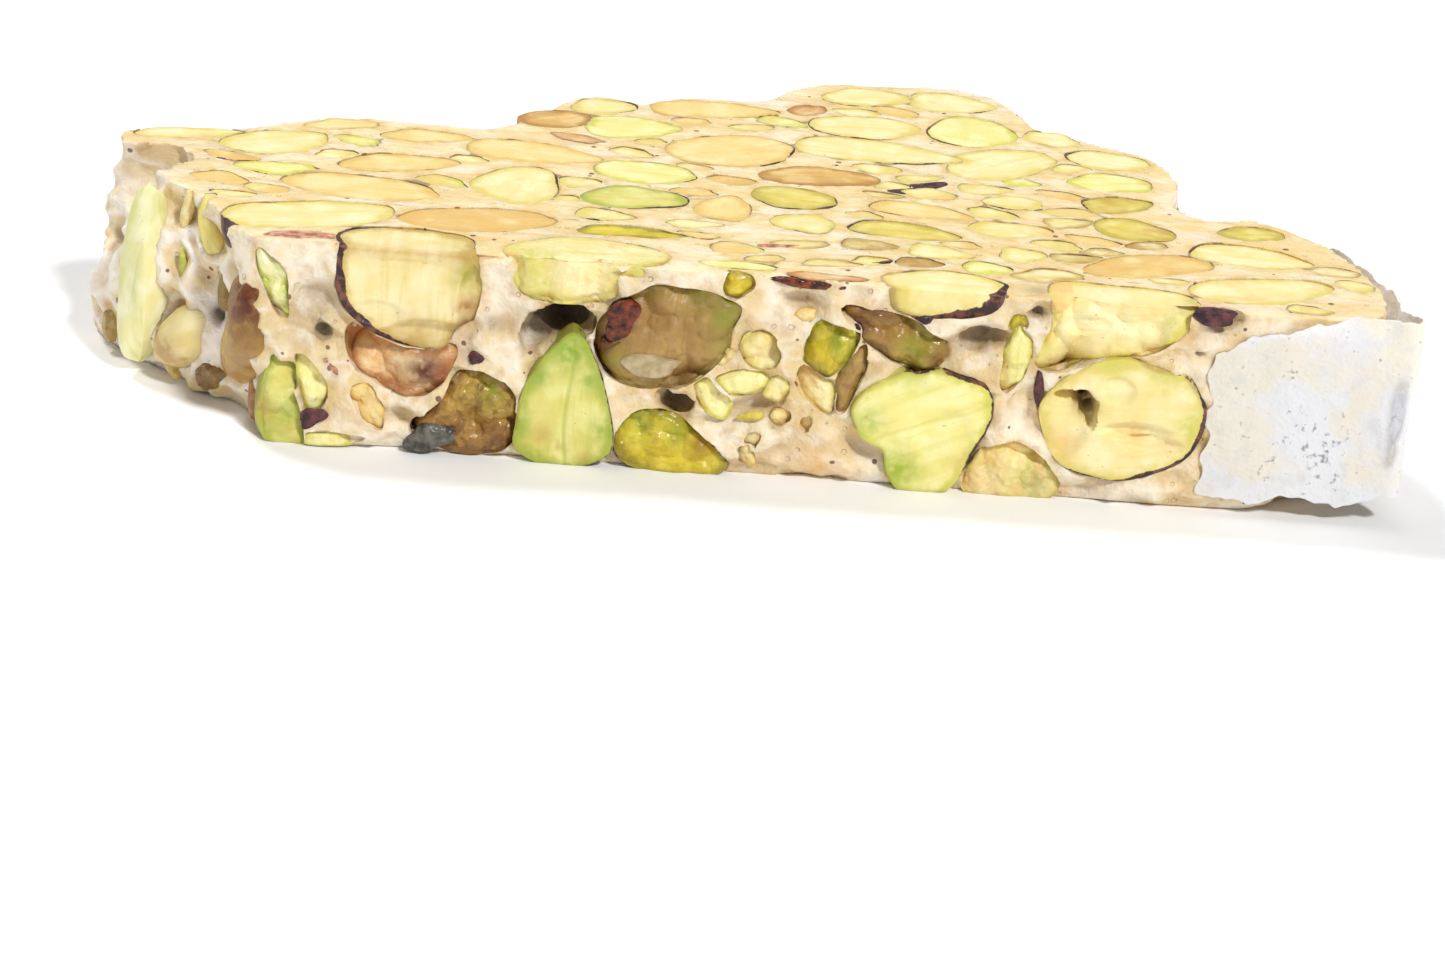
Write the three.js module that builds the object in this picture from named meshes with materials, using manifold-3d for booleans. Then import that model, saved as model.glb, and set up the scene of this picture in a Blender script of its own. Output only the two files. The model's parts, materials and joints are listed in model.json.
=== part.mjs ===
// A slice of soft pistachio nougat, lying flat on one of its two cut faces.
// The nougat is one solid with a pocket for each kernel, each large kernel is a solid of its own,
// and a thin sheet of wafer paper folds round the front right corner.
// Millimetres, +Z up. The slice is laid out from its front left corner, X along the front edge
// and Y to the back, and is centred on the origin at the end.
import * as THREE from "three";
import { mergeVertices } from "three/addons/utils/BufferGeometryUtils.js";
import Module from "manifold-3d";

const THICKNESS = 18.5; // between the two cut faces
const GAP = 0.3; // clearance between a kernel or the paper and the nougat
const FRONT_PROUD = 0.8; // how far the sliced kernels stand out of the front face

// The wall of the nougat.
const WALL_STEPS = 116; // facets round the plan
const WALL_LEVELS = [0, 1.1, 5, 9.5, 14, 17.7, THICKNESS];
const EDGE_ROUNDING = 0.7; // how far the broken bottom edge draws in
const RIPPLE = 0.42; // depth of the uneven tearing on the wall
const SWELLS = 36; // short swells round the plan
const LONG_SWELLS = 15; // and the longer ones that they ride on
const PAPERED_RUN = [80, 127]; // stretch round the plan that the paper kept smooth

// The kernels.
const KERNEL_SIDES = 8;
const KERNEL_RINGS = 5;
const KERNEL_DEPTH = 0.94; // thickness of a kernel over its width
const KERNEL_TAPER = 0.16; // how much narrower one end is than the other

// The wafer paper.
const PAPER_THICKNESS = 0.36;
const PAPER_STAND_OFF = 0.6; // from the wall to the middle of the sheet
const PAPER_LOW = 2.6; // its torn lower edge
const PAPER_HIGH = 19; // its upper edge stands a little over the cut face
const PAPER_TEAR = 0.7; // how uneven both edges are
const PAPER_STEPS = 30;
const PAPER_LEVELS = 5;

// Plan of the slice, anticlockwise from the front left corner: a straight front, a papered right
// side, and a back that follows the kernels behind it.
const PLAN = [
  [0, 0], [3, 0], [30, 0], [60, 0], [92, 0], [96.4, 1.2],
  [97.8, 7], [96.6, 15], [93.8, 22], [89.6, 26], [84.2, 25.6], [82.2, 29],
  [83.2, 37.5], [81.2, 44.5], [76.5, 47.6], [71.4, 51.2], [69.8, 56],
  [67.6, 61.4], [63, 63.9], [57, 62.9], [51.4, 62.2], [46.8, 58.4], [44.2, 54.2],
  [36.4, 52.8], [32.2, 49.6], [28.4, 51.2], [24.6, 48], [22.4, 42.6], [18, 37.4],
  [6, 37.2], [0, 34.6], [-5, 30.6], [-14.8, 27.2], [-12.6, 21.4], [-8.6, 15], [-3.6, 8.4],
];

// Where the wall bulges off the plan: the middle of the bulge, its step in plan and its reach.
const BULGES = [
  { at: [0, 0, 0], step: [3.8, -0.9], reach: 9 },
  { at: [-14, 25, 2], step: [-2.4, -2], reach: 8 },
  { at: [-9, 15, 9], step: [-2.8, -1.6], reach: 7 },
  { at: [97, 3, 0], step: [-1.5, 1.5], reach: 9 },
];

// Kernels, one row each: place on the face (two numbers), length, width, turn of the length in
// degrees, rise of the middle over the face, and colour. The place on the cut face is X and Y.
// On the wall it is the run round the plan from the front left corner, and the height. The run
// along the front is X.
const KERNELS = {
  front: [
    [75, 7.8, 12.8, 10.6, 10, -1.6, "pale"],
    [73.3, 15.6, 11.8, 7.8, 4, -1.6, "pale"],
    [13.4, 14.4, 11.2, 10.2, 90, -1.6, "cream"],
    [13.4, 7.2, 7.4, 4.8, -12, -0.7, "amber"],
    [19.8, 3.8, 8.4, 6.6, 28, -1, "umber"],
    [27.7, 6.2, 11.8, 8.8, 90, -0.6, "green"],
    [36.8, 12.2, 10.8, 9.6, 8, -1.4, "taupe"],
    [37, 3.4, 9.2, 5.2, -12, -0.8, "olive"],
    [50, 11.6, 6, 4.6, 84, -0.6, "olive"],
    [55.4, 13.4, 9.4, 4.8, -28, -0.4, "umber"],
    [58, 6, 12, 10.4, 24, -1.4, "lime"],
    [66.4, 3.2, 8, 5, 14, -0.8, "pale"],
    [302.1, 3.9, 9.4, 3.7, 104, -0.7, "green"],
  ],
  top: [
    [-0.9, 27.7, 10.2, 7.4, 35, -0.6, "pale"],
    [8, 16, 14.4, 7, -4, -0.8, "tan"],
    [10.6, 24, 11.6, 5.4, 14, -1, "tan"],
    [4.5, 7.2, 14.4, 6.6, 17, -0.8, "pale"],
    [18.8, 9.2, 14.2, 6.6, 14, -0.8, "tan"],
    [21.6, 20.4, 11.4, 7.8, 78, -0.8, "pale"],
    [22.3, 30.4, 12.4, 6.8, -8, -0.8, "tan"],
    [24, 42, 7.6, 5.8, 40, -0.6, "umber"],
    [28.5, 47.4, 6.8, 5.2, 20, -0.6, "pale"],
    [31.2, 41, 9.2, 7.4, 10, -0.8, "lime"],
    [33, 26.8, 9.8, 6.8, 0, -0.8, "lime"],
    [32.2, 18.8, 9.8, 6.6, 5, -0.8, "green"],
    [39, 49.2, 12.4, 6, 8, -0.8, "tan"],
    [41, 36, 13.4, 9.6, 35, -1, "tan"],
    [28.6, 2.4, 14.2, 7.4, 3, -0.8, "pale"],
    [40.2, 17.8, 7.2, 5.2, 80, -0.6, "tan"],
    [46.6, 22.4, 8.2, 6.4, -10, -0.8, "olive"],
    [49.2, 29.6, 11.4, 6, 4, -0.8, "umber"],
    [54.5, 39.2, 15.4, 7.6, -4, -0.8, "pale"],
    [54, 47.2, 11.4, 7.8, 15, -0.8, "pale"],
    [54.6, 58, 9.2, 6.2, 12, -0.8, "pale"],
    [63, 58.2, 8.6, 7.2, 0, -0.8, "pale"],
    [64.4, 48.6, 11, 8.4, 80, -0.8, "lime"],
    [66.6, 38.4, 13, 8.4, 42, -0.8, "pale"],
    [58, 21.6, 9.4, 4.6, -10, -0.8, "tan"],
    [77.2, 42.2, 8.6, 6, -5, -0.8, "pale"],
    [76.8, 34.8, 8.2, 6, 8, -0.8, "lime"],
    [76.6, 28, 7.2, 5, 30, -0.8, "olive"],
    [77.4, 20.6, 8, 6, -25, -0.8, "olive"],
    [88.4, 22.2, 6.4, 4.4, 10, -0.8, "olive"],
    [87.2, 15.4, 10.8, 6.4, -8, -0.8, "pale"],
    [87, 6.2, 14.4, 6.6, 20, -0.8, "pale"],
    [77.8, 10.6, 12.8, 6.2, 24, -0.8, "tan"],
    [56.2, 15.2, 10, 5.2, -6, -0.8, "olive"],
    [66, 18, 8.2, 4.6, 5, -0.8, "pale"],
    [59.4, 1.7, 10.8, 6.6, -2, -0.8, "pale"],
    [-8.8, 28.4, 10.6, 3.8, 14, -0.6, "pale"],
  ],
  left: [
    [286.4, 9.8, 17, 5.8, 81, -0.6, "green"],
    [290, 5.2, 6.8, 5, 30, -1, "cream"],
    [300, 9.4, 12, 5, 66, -0.9, "umber"],
    [292.7, 15.9, 6, 3, 115, -0.6, "olive"],
  ],
  back: [
    [148, 8, 12.6, 8.2, 12, -1.8, "pale"],
    [181, 8.4, 13, 8.4, -16, -1.8, "lime"],
    [213, 7.6, 12.4, 8.6, 26, -1.4, "pale"],
    [243, 8.2, 12.8, 8.2, -12, -1.8, "tan"],
  ],
};

// Hollows that open on the surface: centre and three half sizes.
const HOLLOWS = [
  { at: [26.8, -0.6, 12.6], half: [3.3, 3.2, 2] }, // arch over the green kernel
  { at: [-13, 20.6, 17.2], half: [5.4, 4.4, 5.4] }, // where a kernel has dropped out
  { at: [63.4, -0.4, 14], half: [1.9, 1.8, 1.2] },
  { at: [82.8, 0, 17.6], half: [1.8, 1.2, 1.2] },
  { at: [6, -0.3, 13], half: [1.3, 1, 1.3] },
  { at: [51.5, -1, -0.2], half: [4.6, 2.2, 1.8] }, // chip off the bottom edge
  { at: [95, 0.5, -0.4], half: [8, 4.5, 2.6] }, // worn corner under the paper
];

// Colour and roughness of each finish.
const FINISHES = {
  nougat: ["#ead9c6", 0.55],
  paper: ["#eef0f2", 0.8],
  pale: ["#ead88a", 0.5],
  cream: ["#e2cf94", 0.5],
  lime: ["#cfcf5c", 0.48],
  green: ["#a9b84a", 0.45],
  olive: ["#8f8a35", 0.42],
  tan: ["#e3b878", 0.5],
  amber: ["#c98a4e", 0.3],
  umber: ["#8a6138", 0.42],
  taupe: ["#9c8260", 0.45],
};

const wasm = await Module();
wasm.setup();

// A closed geometry as a solid that can be joined and cut.
function solidOf(geometry) {
  const plain = new THREE.BufferGeometry();
  const source = geometry.index ? geometry.toNonIndexed() : geometry;
  plain.setAttribute("position", source.getAttribute("position"));
  const merged = mergeVertices(plain, 1e-4);
  const mesh = new wasm.Mesh({
    numProp: 3,
    vertProperties: merged.attributes.position.array,
    triVerts: new Uint32Array(merged.index.array),
  });
  return new wasm.Manifold(mesh);
}

// The largest body of a solid, so that a loose scrap left by a cut is dropped.
function largestOf(solid) {
  const bodies = solid.decompose();
  return bodies.reduce((best, body) => (body.volume() > best.volume() ? body : best));
}

// A named mesh from a solid.
function meshOf(name, solid, finish) {
  const { vertProperties, triVerts } = solid.getMesh();
  const geometry = new THREE.BufferGeometry();
  geometry.setAttribute("position", new THREE.BufferAttribute(vertProperties, 3));
  geometry.setIndex(new THREE.BufferAttribute(triVerts, 1));
  geometry.computeVertexNormals();
  const [color, roughness] = FINISHES[finish];
  const material = new THREE.MeshStandardMaterial({ color, roughness, metalness: 0 });
  const mesh = new THREE.Mesh(geometry, material);
  mesh.name = name;
  return mesh;
}

// A box between two corners.
function boxSolid(low, high) {
  const size = high.map((value, i) => value - low[i]);
  const geometry = new THREE.BoxGeometry(...size);
  geometry.translate(...low.map((value, i) => value + size[i] / 2));
  return solidOf(geometry);
}

// A closed surface from rings of points that all have the same count: the ends are capped when
// the rings are stacked, and a sheet's rings run round its section.
function closedSurface(rings, caps) {
  const count = rings[0].length;
  const points = rings.flat();
  const index = [];
  for (let i = 0; i + 1 < rings.length; i++) {
    for (let j = 0; j < count; j++) {
      const a = i * count + j;
      const b = i * count + ((j + 1) % count);
      index.push(a, b, b + count, a, b + count, a + count);
    }
  }
  const last = (rings.length - 1) * count;
  for (const [a, b, c] of caps(rings[0])) index.push(a, c, b);
  for (const [a, b, c] of caps(rings.at(-1))) index.push(last + a, last + b, last + c);
  const geometry = new THREE.BufferGeometry();
  geometry.setAttribute("position", new THREE.Float32BufferAttribute(points.flat(), 3));
  geometry.setIndex(index);
  return geometry;
}

const planCorners = PLAN.map(([x, y]) => new THREE.Vector3(x, y, 0));
const planCurve = new THREE.CatmullRomCurve3(planCorners, true, "centripetal");
const planLength = planCurve.getLength();

// A point of the wall at a run round the plan and a height, and the direction out of the wall.
function wallPoint(run, z) {
  const point = planCurve.getPointAt(run / planLength);
  const tangent = planCurve.getTangentAt(run / planLength);
  const out = new THREE.Vector3(tangent.y, -tangent.x, 0);
  point.z = z;
  const head = point.clone();
  for (const { at, step, reach } of BULGES) {
    const near = Math.exp(-head.distanceToSquared(new THREE.Vector3(...at)) / reach ** 2);
    point.x += step[0] * near;
    point.y += step[1] * near;
  }
  return { point, out };
}

// How far the torn wall swells out at a run round the plan and a height.
function ripple(run, z) {
  const turn = (2 * Math.PI * run) / planLength;
  const short = Math.sin(SWELLS * turn + 0.5 * z);
  const long = Math.sin(LONG_SWELLS * turn - 0.7 * z + 1.3);
  const [from, to] = PAPERED_RUN;
  const smooth = THREE.MathUtils.smoothstep(run, from - 3, from) * (run < to ? 1 : 0);
  return RIPPLE * (short + 0.8 * long) * Math.sin((Math.PI * z) / THICKNESS) * (1 - smooth);
}

// The slice before its pockets are cut: a rippled wall between two flat faces.
function blankSolid() {
  const runs = Array.from({ length: WALL_STEPS }, (_, i) => (i / WALL_STEPS) * planLength);
  const rings = WALL_LEVELS.map((z) =>
    runs.map((run) => {
      const { point, out } = wallPoint(run, z);
      const swell = ripple(run, z) - (z === 0 ? EDGE_ROUNDING : 0);
      return point.addScaledVector(out, swell).toArray();
    }),
  );
  const flat = (ring) => {
    const contour = ring.map(([x, y]) => new THREE.Vector2(x, y));
    return THREE.ShapeUtils.triangulateShape(contour, []);
  };
  return solidOf(closedSurface(rings, flat));
}

// Where a kernel sits: a point on its face and the directions along, up and out of the face.
function seatOf(face, u, v) {
  if (face === "top") {
    const [along, up, out] = [[1, 0, 0], [0, 1, 0], [0, 0, 1]].map((axis) => new THREE.Vector3(...axis));
    return { point: new THREE.Vector3(u, v, THICKNESS), along, up, out };
  }
  const { point, out } = wallPoint(u, v);
  const up = new THREE.Vector3(0, 0, 1);
  return { point, along: new THREE.Vector3().crossVectors(up, out), up, out };
}

// A whole kernel, an egg that narrows to one end, grown all over by a clearance.
function kernelSolid(face, row, grow) {
  const [u, v, length, width, turn, rise] = row;
  const { point, along, up, out } = seatOf(face, u, v);
  const angle = THREE.MathUtils.degToRad(turn);
  const lengthAxis = along.multiplyScalar(Math.cos(angle)).addScaledVector(up, Math.sin(angle));
  const widthAxis = new THREE.Vector3().crossVectors(out, lengthAxis);
  const centre = point.addScaledVector(out, rise);
  const geometry = new THREE.SphereGeometry(1, KERNEL_SIDES, KERNEL_RINGS);
  geometry.rotateZ(-Math.PI / 2);
  const position = geometry.getAttribute("position");
  for (let i = 0; i < position.count; i++) {
    const slim = 1 - KERNEL_TAPER * position.getX(i);
    position.setY(i, position.getY(i) * slim);
    position.setZ(i, position.getZ(i) * slim);
  }
  geometry.scale(length / 2 + grow, width / 2 + grow, (width * KERNEL_DEPTH) / 2 + grow);
  const place = new THREE.Matrix4().makeBasis(lengthAxis, widthAxis, out).setPosition(centre);
  return solidOf(geometry.applyMatrix4(place));
}

// The middle line of the paper in plan: along the front, round a fold that stands free of the
// corner, and back along the right side.
function paperLine() {
  const off = PAPER_STAND_OFF;
  const line = [
    [83.2, -off], [88, -off - 0.1], [93, -off - 0.1], [97, -off - 0.3], [99.4, -off - 0.2],
    [99.9, 0.4], [99.1, 2.4], [98.5 + off, 7], [97.3 + off, 15.2], [94.4 + off, 22.4],
    [92.2 + off, 25.2],
  ];
  const curve = new THREE.CatmullRomCurve3(line.map(([x, y]) => new THREE.Vector3(x, y, 0)));
  return Array.from({ length: PAPER_STEPS + 1 }, (_, i) => {
    const at = curve.getPointAt(i / PAPER_STEPS);
    const tangent = curve.getTangentAt(i / PAPER_STEPS);
    return { x: at.x, y: at.y, outX: tangent.y, outY: -tangent.x };
  });
}

// The paper, a thin sheet with torn edges, grown all over by a clearance.
function paperSolid(grow) {
  const half = PAPER_THICKNESS / 2 + grow;
  const rings = paperLine().map(({ x, y, outX, outY }, i) => {
    const low = PAPER_LOW + PAPER_TEAR * Math.sin(2.1 * i) - grow;
    const high = PAPER_HIGH - PAPER_TEAR * (0.5 + 0.5 * Math.sin(1.3 * i + 2)) + grow;
    const side = (sign, level) => {
      const z = low + ((high - low) * level) / PAPER_LEVELS;
      return [x + outX * half * sign, y + outY * half * sign, z];
    };
    const levels = Array.from({ length: PAPER_LEVELS + 1 }, (_, level) => level);
    return [...levels.map((n) => side(-1, n)), ...levels.reverse().map((n) => side(1, n))];
  });
  const strip = (ring) => {
    const faces = [];
    for (let n = 0; n < PAPER_LEVELS; n++) {
      const m = ring.length - 1 - n;
      faces.push([n, n + 1, m - 1], [n, m - 1, m]);
    }
    return faces;
  };
  return solidOf(closedSurface(rings, strip));
}

// An egg-shaped hollow.
function hollowSolid({ at, half }) {
  const geometry = new THREE.SphereGeometry(1, 10, 7);
  geometry.scale(...half);
  geometry.translate(...at);
  return solidOf(geometry);
}

// Each kernel is cut off at the cut faces and, in front, where the knife passed, and is kept
// clear of the kernels before it. The nougat gets a pocket for each.
function buildSlice() {
  const slice = new THREE.Group();
  const reach = 200;
  const between = boxSolid([-reach, -reach, 0], [reach, reach, THICKNESS]);
  const behindFront = boxSolid([-reach, -FRONT_PROUD, 0], [reach, reach, THICKNESS]);
  let pockets = paperSolid(GAP);
  const kernels = [];
  for (const [face, rows] of Object.entries(KERNELS)) {
    rows.forEach((row, i) => {
      const limit = face === "front" || face === "top" ? behindFront : between;
      const whole = kernelSolid(face, row, 0).intersect(limit);
      const kernel = largestOf(whole.subtract(pockets));
      const name = `kernel_${face}_${String(i + 1).padStart(2, "0")}`;
      kernels.push(meshOf(name, kernel, row.at(-1)));
      pockets = pockets.add(kernelSolid(face, row, GAP));
    });
  }
  let nougat = blankSolid();
  for (const hollow of HOLLOWS) nougat = nougat.subtract(hollowSolid(hollow));
  nougat = largestOf(nougat.subtract(pockets));
  slice.add(meshOf("nougat_body", nougat, "nougat"), ...kernels);
  slice.add(meshOf("wafer_paper", paperSolid(0), "paper"));
  return slice;
}

const slice = buildSlice();
const bounds = new THREE.Box3().setFromObject(slice);
const middle = bounds.getCenter(new THREE.Vector3());
slice.position.set(-middle.x, -middle.y, -bounds.min.z);
const part = new THREE.Group();
part.add(slice);

export default part;
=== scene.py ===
"""A slice of soft pistachio nougat with a strip of wafer paper round one corner.

The slice lies on one of its two cut faces. Places are in millimetres from the front left corner of
its underside, X along the front edge, Y to the back and Z up, and each finished mesh is moved
into the part's frame at the end.
"""
import json
import logging
import math
from dataclasses import dataclass, field
from enum import Enum
from functools import partial
from typing import Any, Callable, Iterable, Optional

import bmesh
import bpy
import numpy as np
from mathutils import Matrix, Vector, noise

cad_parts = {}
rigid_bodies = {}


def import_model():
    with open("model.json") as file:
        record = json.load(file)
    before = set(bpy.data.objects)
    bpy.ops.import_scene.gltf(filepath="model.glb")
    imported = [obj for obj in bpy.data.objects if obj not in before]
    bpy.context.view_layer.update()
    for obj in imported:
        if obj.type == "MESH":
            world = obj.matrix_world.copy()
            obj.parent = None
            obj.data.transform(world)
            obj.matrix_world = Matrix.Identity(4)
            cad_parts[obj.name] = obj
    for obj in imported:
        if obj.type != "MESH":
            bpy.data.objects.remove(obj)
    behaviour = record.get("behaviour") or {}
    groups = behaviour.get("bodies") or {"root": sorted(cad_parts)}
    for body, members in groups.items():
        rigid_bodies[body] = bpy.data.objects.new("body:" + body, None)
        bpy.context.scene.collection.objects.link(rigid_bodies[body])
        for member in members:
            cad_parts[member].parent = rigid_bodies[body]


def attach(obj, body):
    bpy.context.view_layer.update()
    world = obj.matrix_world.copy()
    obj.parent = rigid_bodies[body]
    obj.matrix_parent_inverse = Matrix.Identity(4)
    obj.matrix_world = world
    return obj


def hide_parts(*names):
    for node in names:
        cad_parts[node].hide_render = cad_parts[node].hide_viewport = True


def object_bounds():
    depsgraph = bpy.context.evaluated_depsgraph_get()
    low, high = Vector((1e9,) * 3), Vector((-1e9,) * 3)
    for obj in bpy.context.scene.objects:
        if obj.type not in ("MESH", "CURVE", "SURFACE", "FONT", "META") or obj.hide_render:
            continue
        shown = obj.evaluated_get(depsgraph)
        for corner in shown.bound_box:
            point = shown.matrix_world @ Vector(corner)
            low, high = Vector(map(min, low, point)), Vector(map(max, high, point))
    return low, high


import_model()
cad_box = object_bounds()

LOG = logging.getLogger("nougat")

MM = 0.001
CORNER = np.array([-41.499, -32.527, 0.0])  # the slice's front left corner in the part's frame
THICKNESS = 18.5  # between the two cut faces
HEADROOM = 18.95  # nothing stands higher than the paper's edge

# Smooth noise.
NOISE_GAIN = 1.7  # brings its values to about -1 to 1
SEED_SHIFT = np.array([3.17, -1.93, 2.41])  # how far one seed moves the pattern

# The wall of the nougat.
ARC_DIVISIONS = 200  # of the plan, for runs along it
PLAN_DIVISIONS = 400  # of the plan and of the paper's line, for distances
EDGE_ROUNDING = 0.7  # how far the wall draws in at the underside
RIPPLE = 0.42  # height of a swell
SWELLS = 36  # round the wall
LONG_SWELLS = 15
PAPERED_RUN = (80.0, 127.0)  # where the paper kept the wall smooth

# The kernels.
KERNEL_DEPTH = 0.94  # thickness over width
KERNEL_TAPER = 0.16  # how much narrower one end is than the other
FULLNESS = 2.7  # how square the kernel is through its thickness, 2 for an ellipse
POCKET_GAP = 0.03  # between a kernel and its pocket
KERNEL_GAP = 0.12  # between two kernels
BOX_MARGIN = 0.02  # that a kernel keeps from the model's box
ANGLE_DIVISIONS = 145  # of a kernel's own round
OUTLINE_DIVISIONS = 361  # of a measured outline
SEAM_SWAY = 0.25  # how far the seam between a kernel's halves swings from its middle
SEAM_BEND = 0.5  # radians of that swing a millimetre
SEAM_SHIFT = 9.0  # radians of that swing a seed
CLEAR_EDGE = 1.6  # distance from the rim that an uncut kernel's finish takes
FLATS = (1.7, 0.6)  # widths of the flats that a snapped face is made of
GIVES_WAY = 0.2  # a kernel clears an earlier one if its middle is at least this far outside it
HALVINGS = 9  # of the search for the place where a kernel clears its neighbour
FAR = 3.0  # distances past this aren't worked out
REFINED = 1.2  # how far past a cut the relief still reaches
TOP_PROUD = 0.35  # how far a kernel of the upper face may stand out of the front

PLAN = (
    (0, 0), (3, 0), (30, 0), (60, 0), (92, 0), (96.4, 1.2),
    (97.8, 7), (96.6, 15), (93.8, 22), (89.6, 26), (84.2, 25.6), (82.2, 29),
    (83.2, 37.5), (81.2, 44.5), (76.5, 47.6), (71.4, 51.2), (69.8, 56),
    (67.6, 61.4), (63, 63.9), (57, 62.9), (51.4, 62.2), (46.8, 58.4), (44.2, 54.2),
    (36.4, 52.8), (32.2, 49.6), (28.4, 51.2), (24.6, 48), (22.4, 42.6), (18, 37.4),
    (6, 37.2), (0, 34.6), (-5, 30.6), (-14.8, 27.2), (-12.6, 21.4), (-8.6, 15), (-3.6, 8.4),
)

# Where the wall bulges off the plan: the middle of the bulge, its step in plan and its reach.
BULGES = (
    ((0, 0, 0), (3.8, -0.9), 9),
    ((-14, 25, 2), (-2.4, -2), 8),
    ((-9, 15, 9), (-2.8, -1.6), 7),
    ((97, 3, 0), (-1.5, 1.5), 9),
)


class Face(Enum):
    """The face of the slice that a kernel shows in."""

    FRONT = "front"
    TOP = "top"
    LEFT = "left"
    BACK = "back"
    BASE = "base"


class Cut(Enum):
    """How a kernel's showing face was left."""

    SLICED = "sliced by the knife, nearly flat"
    BROKEN = "snapped, with a rough face"
    WHOLE = "uncut, its rounded side shows"


# Kernels that are nodes of the model, in its order: place on the face, length, width, turn of the
# length in degrees, rise of the middle over the face, and finish. The place on the cut face is X
# and Y, on the wall it is the run round the plan and the height.
KERNELS = {
    Face.FRONT: (
        (75, 7.8, 12.8, 10.6, 10, -1.6, "pale"),
        (73.3, 15.6, 11.8, 7.8, 4, -1.6, "pale"),
        (13.4, 14.4, 11.2, 10.2, 90, -1.6, "cream"),
        (13.4, 7.2, 7.4, 4.8, -12, -0.7, "amber"),
        (19.8, 3.8, 8.4, 6.6, 28, -1, "umber"),
        (27.7, 6.2, 11.8, 8.8, 90, -0.6, "green"),
        (36.8, 12.2, 10.8, 9.6, 8, -1.4, "taupe"),
        (37, 3.4, 9.2, 5.2, -12, -0.8, "olive"),
        (50, 11.6, 6, 4.6, 84, -0.6, "olive"),
        (55.4, 13.4, 9.4, 4.8, -28, -0.4, "umber"),
        (58, 6, 12, 10.4, 24, -1.4, "lime"),
        (66.4, 3.2, 8, 5, 14, -0.8, "pale"),
        (302.1, 3.9, 9.4, 3.7, 104, -0.7, "green"),
    ),
    Face.TOP: (
        (-0.9, 27.7, 10.2, 7.4, 35, -0.6, "pale"),
        (8, 16, 14.4, 7, -4, -0.8, "tan"),
        (10.6, 24, 11.6, 5.4, 14, -1, "tan"),
        (4.5, 7.2, 14.4, 6.6, 17, -0.8, "pale"),
        (18.8, 9.2, 14.2, 6.6, 14, -0.8, "tan"),
        (21.6, 20.4, 11.4, 7.8, 78, -0.8, "pale"),
        (22.3, 30.4, 12.4, 6.8, -8, -0.8, "tan"),
        (24, 42, 7.6, 5.8, 40, -0.6, "umber"),
        (28.5, 47.4, 6.8, 5.2, 20, -0.6, "pale"),
        (31.2, 41, 9.2, 7.4, 10, -0.8, "lime"),
        (33, 26.8, 9.8, 6.8, 0, -0.8, "lime"),
        (32.2, 18.8, 9.8, 6.6, 5, -0.8, "green"),
        (39, 49.2, 12.4, 6, 8, -0.8, "tan"),
        (41, 36, 13.4, 9.6, 35, -1, "tan"),
        (28.6, 2.4, 14.2, 7.4, 3, -0.8, "pale"),
        (40.2, 17.8, 7.2, 5.2, 80, -0.6, "tan"),
        (46.6, 22.4, 8.2, 6.4, -10, -0.8, "olive"),
        (49.2, 29.6, 11.4, 6, 4, -0.8, "umber"),
        (54.5, 39.2, 15.4, 7.6, -4, -0.8, "pale"),
        (54, 47.2, 11.4, 7.8, 15, -0.8, "pale"),
        (54.6, 58, 9.2, 6.2, 12, -0.8, "pale"),
        (63, 58.2, 8.6, 7.2, 0, -0.8, "pale"),
        (64.4, 48.6, 11, 8.4, 80, -0.8, "lime"),
        (66.6, 38.4, 13, 8.4, 42, -0.8, "pale"),
        (58, 21.6, 9.4, 4.6, -10, -0.8, "tan"),
        (77.2, 42.2, 8.6, 6, -5, -0.8, "pale"),
        (76.8, 34.8, 8.2, 6, 8, -0.8, "lime"),
        (76.6, 28, 7.2, 5, 30, -0.8, "olive"),
        (77.4, 20.6, 8, 6, -25, -0.8, "olive"),
        (88.4, 22.2, 6.4, 4.4, 10, -0.8, "olive"),
        (87.2, 15.4, 10.8, 6.4, -8, -0.8, "pale"),
        (87, 6.2, 14.4, 6.6, 20, -0.8, "pale"),
        (77.8, 10.6, 12.8, 6.2, 24, -0.8, "tan"),
        (56.2, 15.2, 10, 5.2, -6, -0.8, "olive"),
        (66, 18, 8.2, 4.6, 5, -0.8, "pale"),
        (59.4, 1.7, 10.8, 6.6, -2, -0.8, "pale"),
        (-8.8, 28.4, 10.6, 3.8, 14, -0.6, "pale"),
    ),
    Face.LEFT: (
        (286.4, 9.8, 17, 5.8, 81, -0.6, "green"),
        (290, 5.2, 6.8, 5, 30, -1, "cream"),
        (300, 9.4, 12, 5, 66, -0.9, "umber"),
        (292.7, 15.9, 6, 3, 115, -0.6, "olive"),
    ),
    Face.BACK: (
        (148, 8, 12.6, 8.2, 12, -1.8, "pale"),
        (181, 8.4, 13, 8.4, -16, -1.8, "lime"),
        (213, 7.6, 12.4, 8.6, 26, -1.4, "pale"),
        (243, 8.2, 12.8, 8.2, -12, -1.8, "tan"),
    ),
}

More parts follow.
